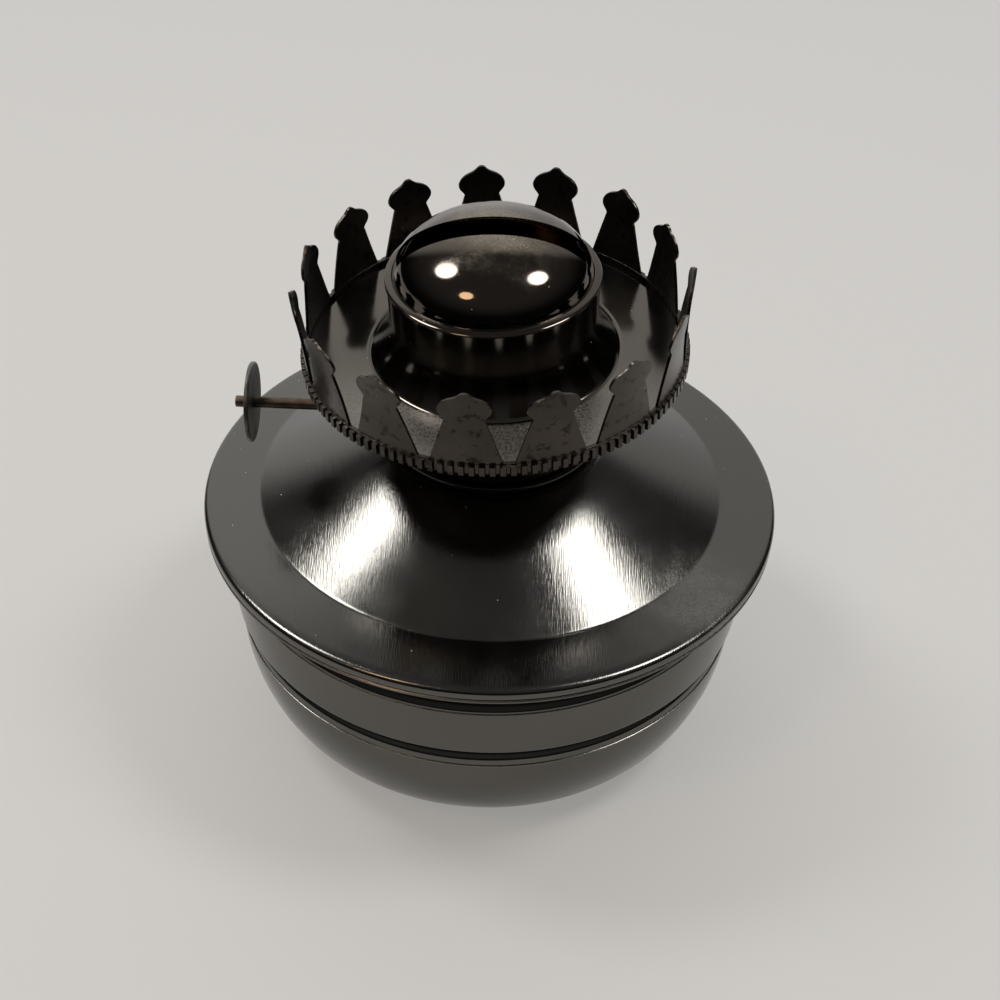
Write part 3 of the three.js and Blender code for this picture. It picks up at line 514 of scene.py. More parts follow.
def finish(name):
    """The named finish, made when it is first asked for."""
    if name in bpy.data.materials:
        return bpy.data.materials[name]
    look, z = bpy.context.scene.lamp_finishes, heights()
    font, _, gallery = all_sizes()
    lip_top = font.rim_height - font.rim_depth - font.fit
    band_top = font.rim_height - font.band_top_depth
    flank_top = band_top - font.band_height - font.groove_height
    dome_top = z.dome + gallery.dome_height
    foot = gallery.throat_radius + gallery.throat_flare

    def top_worn(tree, mm):
        """A hazy patch on the shoulder, to the right of the front."""
        return near_spot(tree, mm, (45, -36, 56), 18)

    def bowl_ridge_wear_and_highlight(tree, mm):
        """The lip and the upper edges of the band and the flank, worn and painted pale as highlight lines."""
        return ridges(tree, mm, (lip_top, band_top, flank_top), 0.14)

    def plate_worn(tree, mm):
        """The leaning plate's flat part, which starts outside the throat's foot: not at all 4 mm in front of
        the axis, and wholly from 26 mm on."""
        height = add(tree, PART, {"Vector": mm}, "Z")
        flat = add(tree, MATH, {0: height, 1: z.plate + 1.7}, operation="LESS_THAN")
        away = add(tree, VECTOR, {0: mm, 1: (0, 0, z.plate)}, "Value", operation="DISTANCE")
        outside = add(tree, RANGE, {"Value": away, "From Min": foot + 0.6, "From Max": foot + 1.6}, **SOFT)
        span = {"Value": height.node.outputs["Y"], "From Min": -4, "From Max": -26}
        there = add(tree, MATH, {0: flat, 1: outside}, operation="MULTIPLY")
        return add(tree, MATH, {0: there, 1: add(tree, RANGE, span, **SOFT)}, operation="MULTIPLY")

    def dome_worn(tree, mm):
        """Round the middle of the slot."""
        return near_spot(tree, mm, (0, -2, dome_top), 15)

    def nickel(colour, polish, dust=look.dust, **how):
        return metal(name, colour, polish, dust, **how)

    makers = {
        # Black nickel on buffed drawn steel: a dark, slightly warm mirror that shows the sheet's grain.
        "black_nickel_top": lambda: nickel(
            look.nickel, 0.15, grain=24, wander=0.03, specked=0.16, worn=top_worn, satin=0.2, film=0.14
        ),
        # The same on the bowl, rubbed bright on its ridges by hands, with a pale painted highlight along
        # them.
        "black_nickel_bowl": lambda: nickel(look.nickel, 0.16, grain=3, specked=0.02, worn=bowl_ridge_wear_and_highlight),
        # Black nickel on the parts under the gallery, kept clean there and glossy.
        "black_nickel_burner": lambda: nickel(look.nickel, 0.14, grain=2),
        # The plate has gone satin where chimneys have stood and keeps its gloss on the throat.
        "black_nickel_plate": lambda: nickel(
            look.gallery_nickel, 0.11, grain=2, specked=0.14, worn=plate_worn, satin=0.28
        ),
        # Thin stamped strip, plated over its blanking marks: duller, with dark stains.
        "black_nickel_strip": lambda: nickel(
            look.strip_nickel, 0.26, grain=3, wander=0.09, specked=0.08, stained=0.85
        ),
        # The dome is polished. The flame has left a dry brown bloom round its slot.
        "black_nickel_dome": lambda: nickel(
            look.dome_nickel, 0.07, look.bloom, grain=1, wander=0.03, specked=0.25, worn=dome_worn,
            satin=0.42, film=0.45,
        ),
        # Thin plate on the knob has worn to a dull grey.
        "worn_nickel_knob": lambda: nickel(
            look.knob_nickel, 0.34, grain=3, wander=0.15, specked=0.05, stained=0.5
        ),
        # Drawn bronze wire, darkened by oil and age: satin, with a faint coppery tint.
        "darkened_bronze": lambda: plain_metal(name, look.bronze, 0.38, 0.15),
        # Brazing copper, flowed and left as it set: a smooth coppery bead.
        "copper_braze": lambda: plain_metal(name, look.braze, 0.25, 0.2),
        # Stamped brass, bare and never polished: dull yellow with brown clouds.
        "plain_brass": lambda: plain_metal(name, look.brass, 0.32, 0.2),
        # Undyed braided cotton, charred at its lit end: matt, with a soft sheen of fuzz.
        "braided_cotton": lambda: braided_cotton(name, look.cotton, look.char, 100),
    }
    return makers[name]()


# Pieces


class LAMP_OT_font_bowl(bpy.types.Operator):
    """The bowl: base, elliptical flank, inward steps with their turned ledges, upright band and lip"""

    bl_idname = "lamp.font_bowl"
    bl_label = "Font bowl"

    def execute(self, context):
        s = in_mm(context.scene.lamp_font)
        lip_top = s.rim_height - s.rim_depth - s.fit
        lip_low = lip_top - s.lip
        neck_top = lip_low - s.sheet
        neck_low = neck_top - s.neck_height
        band_top = s.rim_height - s.band_top_depth
        band_low = band_top - s.band_height
        flank_top = band_low - s.groove_height
        body, neck, ledge, foot, recess = (
            s.body_radius, s.neck_radius, s.ledge, s.foot_radius, s.foot_recess
        )
        flank, groove = body - s.step_in, body - s.groove_depth
        inner_foot = foot - s.foot_width
        spigot = s.rim_radius - s.sheet - s.fit
        spigot_top = lip_top + s.lip_spigot
        angle = np.linspace(0, np.pi / 2, 40)
        curve = np.stack([foot + (flank - foot) * np.sin(angle), flank_top * (1 - np.cos(angle))], -1)
        base = rounded([[0, recess, 0], [inner_foot - 1.6, recess, 1], [inner_foot, 0, 1], [foot, 0, 0]])
        upper = rounded([
            [flank, flank_top, 0],
            [flank, flank_top + 0.1, 0.08],
            [flank - ledge, flank_top + 0.2, 0.08],
            [flank - ledge - 0.05, flank_top + 1.75, 0.5],
            [groove, flank_top + 2.8, 0.6],
            [groove, flank_top + 4, 0.9],
            [body - 0.3, band_low - 0.1, 0.8],
            [body, band_low + 0.3, 0.4],
            [body, band_top, 0.1],
            [body - ledge, band_top + 0.12, 0.08],
            [body - ledge, band_top + 0.6, 0.25],
            [neck, neck_low, 0.8],
            [neck, neck_top, 0.3],
        ])
        wall = np.concatenate([base[:-1], curve, upper[1:]])
        lip = [
            [neck + s.sheet, lip_low],
            [s.rim_radius - 0.3, lip_low],
            [s.rim_radius - 0.05, lip_low + 0.2],
            [s.rim_radius - 0.05, lip_top - 0.2],
            [s.rim_radius - 0.3, lip_top],
            [spigot, lip_top],
            [spigot, spigot_top],
        ]
        hidden = [[neck + s.sheet, lip_low], [spigot, lip_low], [spigot, spigot_top]]
        inside = other_face(np.concatenate([wall[:-1], hidden]), s.sheet)
        section = np.concatenate([wall, lip, inside[::-1]])
        surfaces = [(turned(section), False, True)]
        make_piece("font_bowl_shell", surfaces, "font", ["font_bowl"], "black_nickel_bowl")
        return {"FINISHED"}


class LAMP_OT_font_top(bpy.types.Operator):
    """The top: rolled rim, shallow shoulder, cone and the land round the mouth"""

    bl_idname = "lamp.font_top"
    bl_label = "Font top"

    def execute(self, context):
        s = in_mm(context.scene.lamp_font)
        rim, edge = s.rim_radius, s.rim_height
        crease, land = edge + s.shoulder_rise, heights().land
        path = rounded([
            [rim - 0.15, edge - s.rim_depth, 0],
            [rim, edge - s.rim_depth + 0.35, 0.25],
            [rim, edge, s.rim_round],
            [rim - s.shoulder_width, crease, 0.45],
            [s.cone_top_radius, land, 0.6],
            [s.collar_bore + s.collar_wall + s.fit, land, 0],
        ])
        section = sheet_section(subdivided(path, 1.5), s.sheet)
        surfaces = [(turned(section), True, True)]
        make_piece("font_top_shell", surfaces, "font", ["font_top"], "black_nickel_top")
        return {"FINISHED"}


class LAMP_OT_collar(bpy.types.Operator):
    """The collar in the font's mouth, with a thread cut inside: the bore's radius grows by the thread's depth
    times a soft wave of height over pitch less turn"""

    bl_idname = "lamp.collar"
    bl_label = "Threaded collar"

    def execute(self, context):
        s, burner, _ = all_sizes()
        low = heights().land + s.fit
        top, foot = low + s.collar_flange_height, low - s.collar_depth
        bore, wall, flange = s.collar_bore, s.collar_bore + s.collar_wall, s.collar_flange
        ring = rounded([
            [bore, foot, 0.2],
            [wall, foot, 0.2],
            [wall, low, 0.1],
            [flange, low, 0.35],
            [flange, top, 0.35],
            [bore, top, 0.3],
        ], closed=True)
        bore_line = np.stack([np.full(40, bore), np.linspace(top - 0.4, foot + 0.3, 40)], -1)

        def thread(angle, r, z):
            inside = (r < bore + 0.01) & (z < top - 0.35) & (z > foot + 0.25)
            wave = 0.5 + 0.5 * np.cos(2 * np.pi * z / burner.thread_pitch - angle)
            return inside * burner.thread_depth * wave

        surfaces = [(turned(np.concatenate([ring, bore_line]), ripple=thread), True, True)]
        look = "black_nickel_burner"
        make_piece("threaded_collar", surfaces, "font", ["font_collar"], look)
        return {"FINISHED"}


class LAMP_OT_burner_shell(bpy.types.Operator):
    """The cup with its threaded skirt, and the air basket, whose rows of holes are cells that run from a
    circle out to a rectangle of the wall"""

    bl_idname = "lamp.burner_shell"
    bl_label = "Cup and air basket"

    def cup(self):
        """Floor, threaded skirt and wall of the cup, turned as one section."""
        font, s, _ = all_sizes()
        skirt = font.collar_bore - font.fit
        tube_half = s.wick_width / 2 + 1.3  # round the wick tube
        outer = np.stack([np.full(40, skirt), np.linspace(-s.thread_length + 0.3, -0.5, 40)], -1)
        wall = rounded([
            [skirt, 0, 0],
            [s.cup_radius, 0, 0.7],
            [s.cup_radius, s.cup_height, 0.25],
            [s.cup_radius - s.sheet, s.cup_height, 0.25],
            [s.cup_radius - s.sheet, s.sheet, 0.4],
            [tube_half, s.sheet, 0],
        ])
        floor = [[tube_half, 0.0], [skirt - s.sheet, 0.0]]
        end = [[skirt - s.sheet, -s.thread_length], [skirt - 0.15, -s.thread_length]]
        section = np.concatenate([floor, end, outer, wall])

        def thread(angle, r, z):
            cut = (r > skirt - 0.01) & (r < skirt + 0.01) & (z < -0.4)
            return cut * s.thread_depth * (-0.5 + 0.5 * np.cos(2 * np.pi * z / s.thread_pitch - angle))

        return turned(section, ripple=thread)

    def holed_cells(self, s, skipped):
        """Cells of the basket's wall. In a cell a point is (1 - t) circle + t rectangle, at the same share
        of the way round both, wrapped on the wall; t runs in on the outer face and out again on the inner."""
        half_wide, half_high = np.pi / s.air_holes, s.air_step / 2
        side = np.linspace(-1, 1, 9)[:-1]
        ones = np.ones(8)
        square = np.stack([
            np.concatenate([side, ones, -side, -ones]), np.concatenate([-ones, side, ones, -side])
        ], -1)
        way = np.arctan2(square[:, 1] * half_high, square[:, 0] * half_wide * s.basket_radius)
        t = np.linspace(0, 1, 5)[:, None, None]
        r = np.concatenate([np.full(5, s.basket_radius), np.full(5, s.basket_radius - s.sheet)])[:, None]
        cells = []
        for row in range(2):
            for i in range(s.air_holes):
                hole = 0 if (row, i) in skipped else s.air_hole
                across = np.cos(way) * hole / (half_wide * s.basket_radius)
                circle = np.stack([across, np.sin(way) * hole / half_high], -1)
                flat = (1 - t) * circle + t * square
                both = np.concatenate([flat[::-1], flat])
                angle = np.pi * (2 * i + row) / s.air_holes + both[..., 0] * half_wide
                z = s.air_row + row * s.air_step + both[..., 1] * half_high
                cells.append((swept(r, angle, z) * MM, False, True))
        return cells

    def execute(self, context):
        font, s, _ = all_sizes()
        seat = heights().seat
        cup = [(raised(self.cup(), seat), True, True)]
        look = "black_nickel_burner"
        make_piece("burner_cup", cup, "burner", ["base_cup"], look)
        radius, sheet, bead = s.basket_radius, s.sheet, s.bead_radius
        low, high = s.air_row - s.air_step / 2, s.air_row + 1.5 * s.air_step
        bead_low = s.bead_top - s.bead_height
        foot, floor = s.cup_radius - sheet - font.fit, sheet + font.fit
        lower = rounded([
            [radius, low, 0],
            [radius, floor + sheet, 0.5],
            [foot, floor + sheet, 0.1],
            [foot, floor, 0.1],
            [radius - sheet, floor, 0.5],
            [radius - sheet, low, 0],
        ])
        upper = rounded([
            [radius, high, 0],
            [radius, bead_low, 0.5],
            [bead, bead_low, 0.9],
            [bead, s.bead_top, 0.9],
            [radius, s.bead_top, 0.5],
            [radius, s.basket_top, 0.2],
        ])
        angles = even(s.air_holes * 16)
        grids = [(turned(part, angles), False, True) for part in (lower, sheet_section(upper, sheet))]
        # One hole of the upper row is left out where the spindle's sleeve goes through.
        grids += self.holed_cells(s, {(1, 9)})
        bent = []
        for grid, wrap_rows, wrap_columns in grids:
            here = raised(grid, seat)
            share = np.clip(grid[..., 2:] / (bead_low * MM), 0, 1)
            bent.append((here + (leaning(here) - here) * share, wrap_rows, wrap_columns))
        make_piece("air_basket_shell", bent, "burner", ["air_basket"], look)
        return {"FINISHED"}


class LAMP_OT_gallery_plate(bpy.types.Operator):
    """The plate and its throat, drawn from one sheet, with a fine line pressed round the throat's foot. The
    foot flares out as the square of the distance from its top"""

    bl_idname = "lamp.gallery_plate"
    bl_label = "Gallery plate"

    def execute(self, context):
        s, plate = in_mm(context.scene.lamp_gallery), heights().plate
        rise = np.linspace(0, 1, 24)
        radius = s.throat_radius + s.throat_flare * (1 - rise) ** 2
        flare = np.stack([radius, plate + s.flare_height * rise], -1)
        foot = s.throat_radius + s.throat_flare
        flat = rounded([
            [s.plate_radius, plate, 0],
            [foot + 0.75, plate, 0.3],
            [foot + 0.4, plate - 0.16, 0.12],
            [foot, plate, 0],
        ])
        path = np.concatenate([flat[:-1], flare, [[s.throat_radius, plate + s.throat_height]]])
        grid = leaning(turned(sheet_section(subdivided(path, 2), s.sheet)))
        surfaces = [(grid, True, True)]
        look = "black_nickel_plate"
        make_piece("plate_and_throat", surfaces, "gallery", ["gallery_plate"], look)
        return {"FINISHED"}


# Outline of a prong's head: share of the head's height, share of its half width
HEAD_OUTLINE = np.array([
    [0, 0.745], [0.05, 0.76], [0.1, 0.8], [0.16, 0.87], [0.23, 0.94], [0.3, 0.985], [0.38, 1],
    [0.46, 0.985], [0.54, 0.93], [0.61, 0.87], [0.67, 0.785], [0.73, 0.67], [0.775, 0.54],
    [0.81, 0.42], [0.85, 0.32], [0.9, 0.235], [0.95, 0.17], [0.985, 0.11], [1, 0.05],
])
# How each prong has been bent in use, from the first on anticlockwise: out at the tip and sideways in
# millimetres, twist in radians
PRONG_BENDS = np.array([
    [1.4, 0.0, -0.04], [0.8, 0.0, 0.05], [0.5, 0.1, -0.05], [0.3, 0.0, 0.08], [-1.0, 0.4, -0.05],
    [0.3, 0.1, 0.03], [1.0, 0.2, 0.02], [0.2, -0.2, -0.03], [-0.6, 0.0, 0.04], [-1.4, -0.1, 0.06],
    [-0.6, 0.2, -0.04], [0.6, 0.2, 0.06], [1.0, 0.0, -0.06], [0.6, -0.5, 0.07], [0.3, 0.4, -0.03],
])


class LAMP_OT_prong_crown(bpy.types.Operator):
    """The crown: a fluted band with a lip turned in below the plate, and prongs that spring from it"""

    bl_idname = "lamp.prong_crown"
    bl_label = "Crown of prongs"

    def band(self, s):
        """A ring section turned with the flutes: pressed ribs that rise and fall steeply between flat tops
        and flat grooves, and end just below the prongs."""
        outer = s.crown_radius - s.flute_depth
        inner = outer - s.sheet - 0.15
        lip, top, end = inner - s.lip_width, s.band_height, s.band_height - 0.25
        section = rounded([
            [lip, 0, 0.15],
            [outer, 0, 0.3],
            [outer, end - 0.1, 0],
            [outer, end, 0],
            [outer, top, 0.1],
            [inner, top, 0.1],
            [inner, end, 0],
            [inner, end - 0.1, 0],
            [inner, s.sheet, 0.3],
            [lip, s.sheet, 0.15],
        ], closed=True)
        shares = np.array([0, 0.05, 0.3, 0.55, 0.6, 0.65, 0.8, 0.95])
        lift = np.array([0.5, 1, 1, 1, 0.5, 0, 0, 0])
        angles = 2 * np.pi * (np.arange(s.flutes)[:, None] + shares).ravel() / s.flutes

        def flute(angle, r, z):
            wall = (r > inner - 0.05) & ((r > outer - 0.2) | (z > s.sheet + 0.1)) & (z < end - 0.05)
            return wall * s.flute_depth * np.tile(lift, s.flutes)[None, :]

        return turned(section, angles, ripple=flute)

    def prong(self, s, index, phase):
        """One prong: at height h and share u of its half width w(h), the middle of the sheet is on the radius
        R + (lean + bend) (h / H)^2, at the angle u w / R, with this prong's twist and sway added, and each
        face is half a sheet away. Its two ends close on their middles."""
        tall, neck, root, thin = s.prong_height, s.prong_neck_height, s.prong_root / 2, s.sheet / 2
        head = HEAD_OUTLINE * [tall - neck, s.prong_head / 2] + [neck, 0]
        shank = [[-1.2, root], [0, root], [0.5, root - 0.25], [neck - 0.15, s.prong_neck / 2]]
        outline = np.concatenate([shank, head])
        height = np.unique(np.concatenate([outline[:, 0], np.linspace(0, tall, 56)]).round(4))
        half = np.interp(height, outline[:, 0], outline[:, 1])
        across = np.linspace(-1, 1, 15) * 0.985
        u = np.concatenate([across, [1, 1], across[::-1], [-1, -1]])
        side = np.concatenate([np.ones(15), [0.55, -0.55], -np.ones(15), [-0.55, 0.55]]) * thin
        up = (np.clip(height, 0, None) / tall)[:, None]
        bend, sway, twist = PRONG_BENDS[index % len(PRONG_BENDS)]
        middle = s.crown_radius - s.flute_depth - 0.1 - thin
        over = u[None, :] * half[:, None]
        radius = middle + (s.prong_lean + bend) * up**2 + over * twist * up + side[None, :]
        angle = phase + 2 * np.pi * index / s.prongs + (over + sway * up**2) / middle
        grid = swept(radius, angle, height[:, None]) * MM
        low, high = (0 * end + end.mean(1, keepdims=True) for end in (grid[:1], grid[-1:]))
        return raised(np.concatenate([low, grid, high]), s.band_height)

    def execute(self, context):
        gallery, crown = context.scene.lamp_gallery, heights().crown
        s, phase = in_mm(gallery), gallery.prong_phase
        surfaces = [(self.band(s), True, True)]
        surfaces += [(self.prong(s, i, phase), False, True) for i in range(s.prongs)]
        surfaces = [(leaning(raised(grid, crown)), a, c) for grid, a, c in surfaces]
        look = "black_nickel_strip"
        make_piece("crown_of_prongs", surfaces, "gallery", ["prong_crown"], look)
        return {"FINISHED"}


class LAMP_OT_dome(bpy.types.Operator):
    """The dome: an ellipse turned about the axis and open along a slot. Above the slot's floor each height is
    an arc on each side of the slot, from -acos(w / r) to acos(w / r), where w is half the slot; the flange,
    its beads and the spigot are turned below"""

    bl_idname = "lamp.dome"
    bl_label = "Dome"

    def execute(self, context):
        font, _, s = all_sizes()
        foot, sheet, half = s.dome_radius, s.sheet, s.slot_width / 2
        rows, arc_points, gap_points = 36, 97, 11
        angle = np.linspace(0, np.pi / 2, 400)
        full = np.stack([foot * np.cos(angle), sheet + s.dome_height * np.sin(angle)], -1)
        full[-1, 0] = 0
        start = int(np.searchsorted(full[:, 1], sheet + s.slot_floor))

        def picked(path):
            """Rows of a face from the slot's floor to where its radius is half the slot, denser near the
            top."""
            last = int(len(path) - np.searchsorted(path[::-1, 0], half)) - 1
            at = start + np.linspace(0, 1, rows) ** 0.8 * (last - start)
            part = np.stack([np.interp(at, np.arange(len(path)), path[:, k]) for k in range(2)], -1)
            part[-1, 0] = half
            return part

        faces = [picked(full), picked(other_face(full, sheet))]
        spread = np.linspace(-1, 1, arc_points)
        surfaces, arcs = [], []
        for part in faces:
            reach = np.arccos(np.clip(half / part[:, :1], -1, 1))
            arcs.append([swept(part[:, :1], turn + reach * spread, part[:, 1:]) for turn in (0, np.pi)])
        surfaces += [(grid, False, False) for pair in arcs for grid in pair]
        for outer, inner in zip(*arcs):
            for column in (0, -1):
                surfaces.append((np.stack([outer[:, column], inner[:, column]], 1), False, False))
        gap = np.linspace(0, 1, gap_points + 2)[1:-1]

        def around(radius):
            """Angles round a ring of that radius that meet the arcs' ends on both sides of the slot."""
            a = math.acos(half / radius)
            right = a + (np.pi - 2 * a) * gap
            return np.concatenate([a * spread, right, np.pi + a * spread, right + np.pi])

        flange, deep = s.dome_flange, -s.dome_spigot
        spigot = s.throat_radius - sheet - font.fit
        beads = rounded([
            [full[start, 0], faces[0][0, 1], 0],
            [foot + 0.1, sheet + 0.08, 0.08],
            [foot + 0.45, sheet + 0.25, 0.15],
            [flange - 0.35, sheet - 0.05, 0.3],
            [flange, sheet - 0.3, 0.2],
            [flange, 0, 0.2],
            [spigot, 0, 0.1],
            [spigot, deep, 0.1],
            [spigot - sheet, deep, 0.1],
            [spigot - sheet, sheet - 0.3, 0.5],
            [*faces[1][0], 0],
        ])
        share = np.linspace(0, 1, len(beads))[:, None]
        a = (1 - share) * around(faces[0][0, 0]) + share * around(faces[1][0, 0])
        ring = swept(beads[:, :1], a, beads[:, 1:])
        surfaces.append((ring, False, True))
        # The slot's floor: a strip from the outer to the inner face at each of its two ends
        for first in (arc_points - 1, 2 * arc_points + gap_points - 1):
            columns = (first + np.arange(gap_points + 2)) % ring.shape[1]
            surfaces.append((np.stack([ring[0, columns], ring[-1, columns]]), False, False))
        seat = heights().dome
        surfaces = [(leaning(raised(grid * MM, seat)), p, q) for grid, p, q in surfaces]
        look = "black_nickel_dome"
        make_piece("slotted_dome", surfaces, "gallery", ["dome_cap"], look)
        return {"FINISHED"}


class LAMP_OT_spindle(bpy.types.Operator):
    """The spindle, the knob's disc and the braze that holds it, each a section turned about the spindle's
    line"""

    bl_idname = "lamp.spindle"
    bl_label = "Spindle and knob"

    def execute(self, context):
        s = in_mm(context.scene.lamp_burner)
        low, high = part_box("spindle_shaft")
        knob_low, knob_high = (corner.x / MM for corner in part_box("knob_disc"))
        y, z = (low.y + high.y) / 2, (low.z + high.z) / 2
        start, end, r, edge = low.x / MM, high.x / MM, s.spindle_radius, s.knob_radius

        def laid(grid):
            """A surface turned about Z, laid along X on the spindle's line."""
            return np.stack([grid[..., 2], grid[..., 0] + y, -grid[..., 1] + z], -1)

        shaft = rounded([[0, start, 0], [r - 0.04, start, 0.25], [r - 0.04, end, 0.3], [0, end, 0]])
        wire = [(laid(turned(subdivided(shaft, 2), even(48))), False, True)]
        look = "darkened_bronze"
        make_piece("winding_spindle", wire, "spindle", ["spindle_shaft"], look)
        disc = rounded([
            [r - 0.1, knob_low, 0.02],
            [edge * 0.55, knob_low + 0.06, 1],
            [edge, knob_low + 0.02, 0.3],
            [edge, knob_high - 0.02, 0.3],
            [edge * 0.55, knob_high - 0.06, 1],
            [r - 0.1, knob_high, 0.02],
        ], closed=True)
        plate = [(laid(turned(disc, even(96))), True, True)]
        make_piece("knob_plate", plate, "spindle", ["knob_disc"], "worn_nickel_knob")
        fillet = rounded([
            [r - 0.15, knob_low - 0.75, 0.1],
            [r + 0.15, knob_low - 0.7, 0.2],
            [r + 0.9, knob_low - 0.4, 0.4],
            [r + 1.7, knob_low + 0.2, 0.05],
            [r - 0.15, knob_low + 0.25, 0.05],
        ], closed=True)
        ring = turned(subdivided(np.concatenate([fillet, fillet[:1]]), 0.15)[:-1], even(64))
        # The braze has run unevenly: its radius swells and shrinks round the hub, more further out.
        outward = np.clip((np.hypot(ring[..., 0], ring[..., 1]) / MM - r) / 1.2, 0, 1)
        angle = np.arctan2(ring[..., 0], -ring[..., 1])
        ring[..., :2] *= 1 + (outward * (0.12 * np.sin(3 * angle) + 0.08 * np.sin(7 * angle + 1)))[..., None]
        make_piece("knob_braze", [(laid(ring), True, True)], "spindle", [], "copper_braze")
        return {"FINISHED"}


class LAMP_OT_wick(bpy.types.Operator):
    """The flat wick: a round-ended oval carried straight up, its surface lifted by the bulge times
    |cos(pi (h / pitch + n s))| at height h and share s of the way round, or the same with -n where that is
    more, so that slanting ribs cross over one another"""

    bl_idname = "lamp.wick"
    bl_label = "Wick"

    def execute(self, context):
        low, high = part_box("wick")
        pitch = context.scene.lamp_burner.wick_pitch
        wide, thick, bulge = high.x - low.x, high.y - low.y, 0.18 * MM
        radius, side = thick / 2 - bulge, wide - thick
        s = np.linspace(0, 1, 200, endpoint=False)
        bend = np.pi * radius
        around = 2 * bend + 2 * side
        at = s * around
        # Along the front, round the right end, back along the rear and round the left end
        parts = [at < side, at < side + bend, at < 2 * side + bend]
        right, left = (at - side) / radius, (at - 2 * side - bend) / radius
        x = np.select(
            parts,
            [at - side / 2, side / 2 + radius * np.sin(right), side / 2 - (at - side - bend)],
            -side / 2 - radius * np.sin(left),
        )
        y = np.select(
            parts, [-radius + 0 * at, -radius * np.cos(right), radius + 0 * at], radius * np.cos(left)
        )
        line = np.stack([x, y], -1)
        run = np.roll(line, -1, 0) - np.roll(line, 1, 0)
        out = np.stack([run[:, 1], -run[:, 0]], -1)
        out /= np.linalg.norm(out, axis=1, keepdims=True)
        h = np.arange(low.z + 0.2 * MM, high.z - 0.2 * MM, pitch / 5)[:, None]
        ribs = round(around / pitch / 2)
        waves = [np.abs(np.cos(np.pi * (h / pitch + way * ribs * s[None, :]))) for way in (1, -1)]
        flat = line[None] + out[None] * (bulge * np.maximum(*waves))[..., None]
        grid = np.concatenate([flat, h[..., None] + 0 * flat[..., :1]], -1)
        foot, top = (0 * end + end.mean(1, keepdims=True) for end in (grid[:1], grid[-1:]))
        grid = np.concatenate([foot, grid, top]) + [(low.x + high.x) / 2, (low.y + high.y) / 2, 0]
        cord = [(grid, False, True)]
        piece = make_piece("braided_wick", cord, "wick", ["wick"], "braided_cotton")
        return {"FINISHED"}


class LAMP_OT_works(bpy.types.Operator):
    """Finishes for the works that keep their plain shapes: tube, box, vent, sleeve, disc and wheels"""

    bl_idname = "lamp.works"
    bl_label = "Hidden works"

    def execute(self, context):
        wheels = [f"ratchet_wheel_{i}" for i in range(1, 5)]
        for name in ["draft_disc", "wick_tube", "wheel_box", "vent_tube", "spindle_sleeve", *wheels]:
            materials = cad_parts[name].data.materials
            materials.clear()
            materials.append(finish("plain_brass"))
        return {"FINISHED"}


# The stage

FLOOR_REACH, FLOOR_FRONT = 1.6, -0.18  # metres from the lamp to the floor's far edges and to its front edge
AIM_HEIGHT = 0.07  # metres; the point on the lamp's axis that the camera is aimed by
LAMP_AIM_HEIGHT = 0.08  # metres; the point on that axis that the lamps point at
CAMERA_SLIDE = (1.685, -14.202)  # millimetres, to the right and up in the picture's plane
PALE_SIDE = (0, 0.94, 0.342)  # direction of the middle of the room's pale part
# Name, direction from the lamp, distance and diameter in metres, watts, colour
LAMPS = (
    ("left_lamp", (-0.554, 0.188, 0.811), 1.4, 0.42, 7.0, (1, 1, 1)),
    ("right_lamp", (0.494, 0.024, 0.869), 1.4, 0.42, 7.0, (1, 1, 1)),
    ("warm_lamp", (-0.419, -0.433, 0.798), 1.4, 0.3, 2.0, (1, 0.74, 0.46)),
    ("soft_lamp", (0, 0.1, 1), 2.0, 2.8, 16.0, (1, 1, 1)),
)


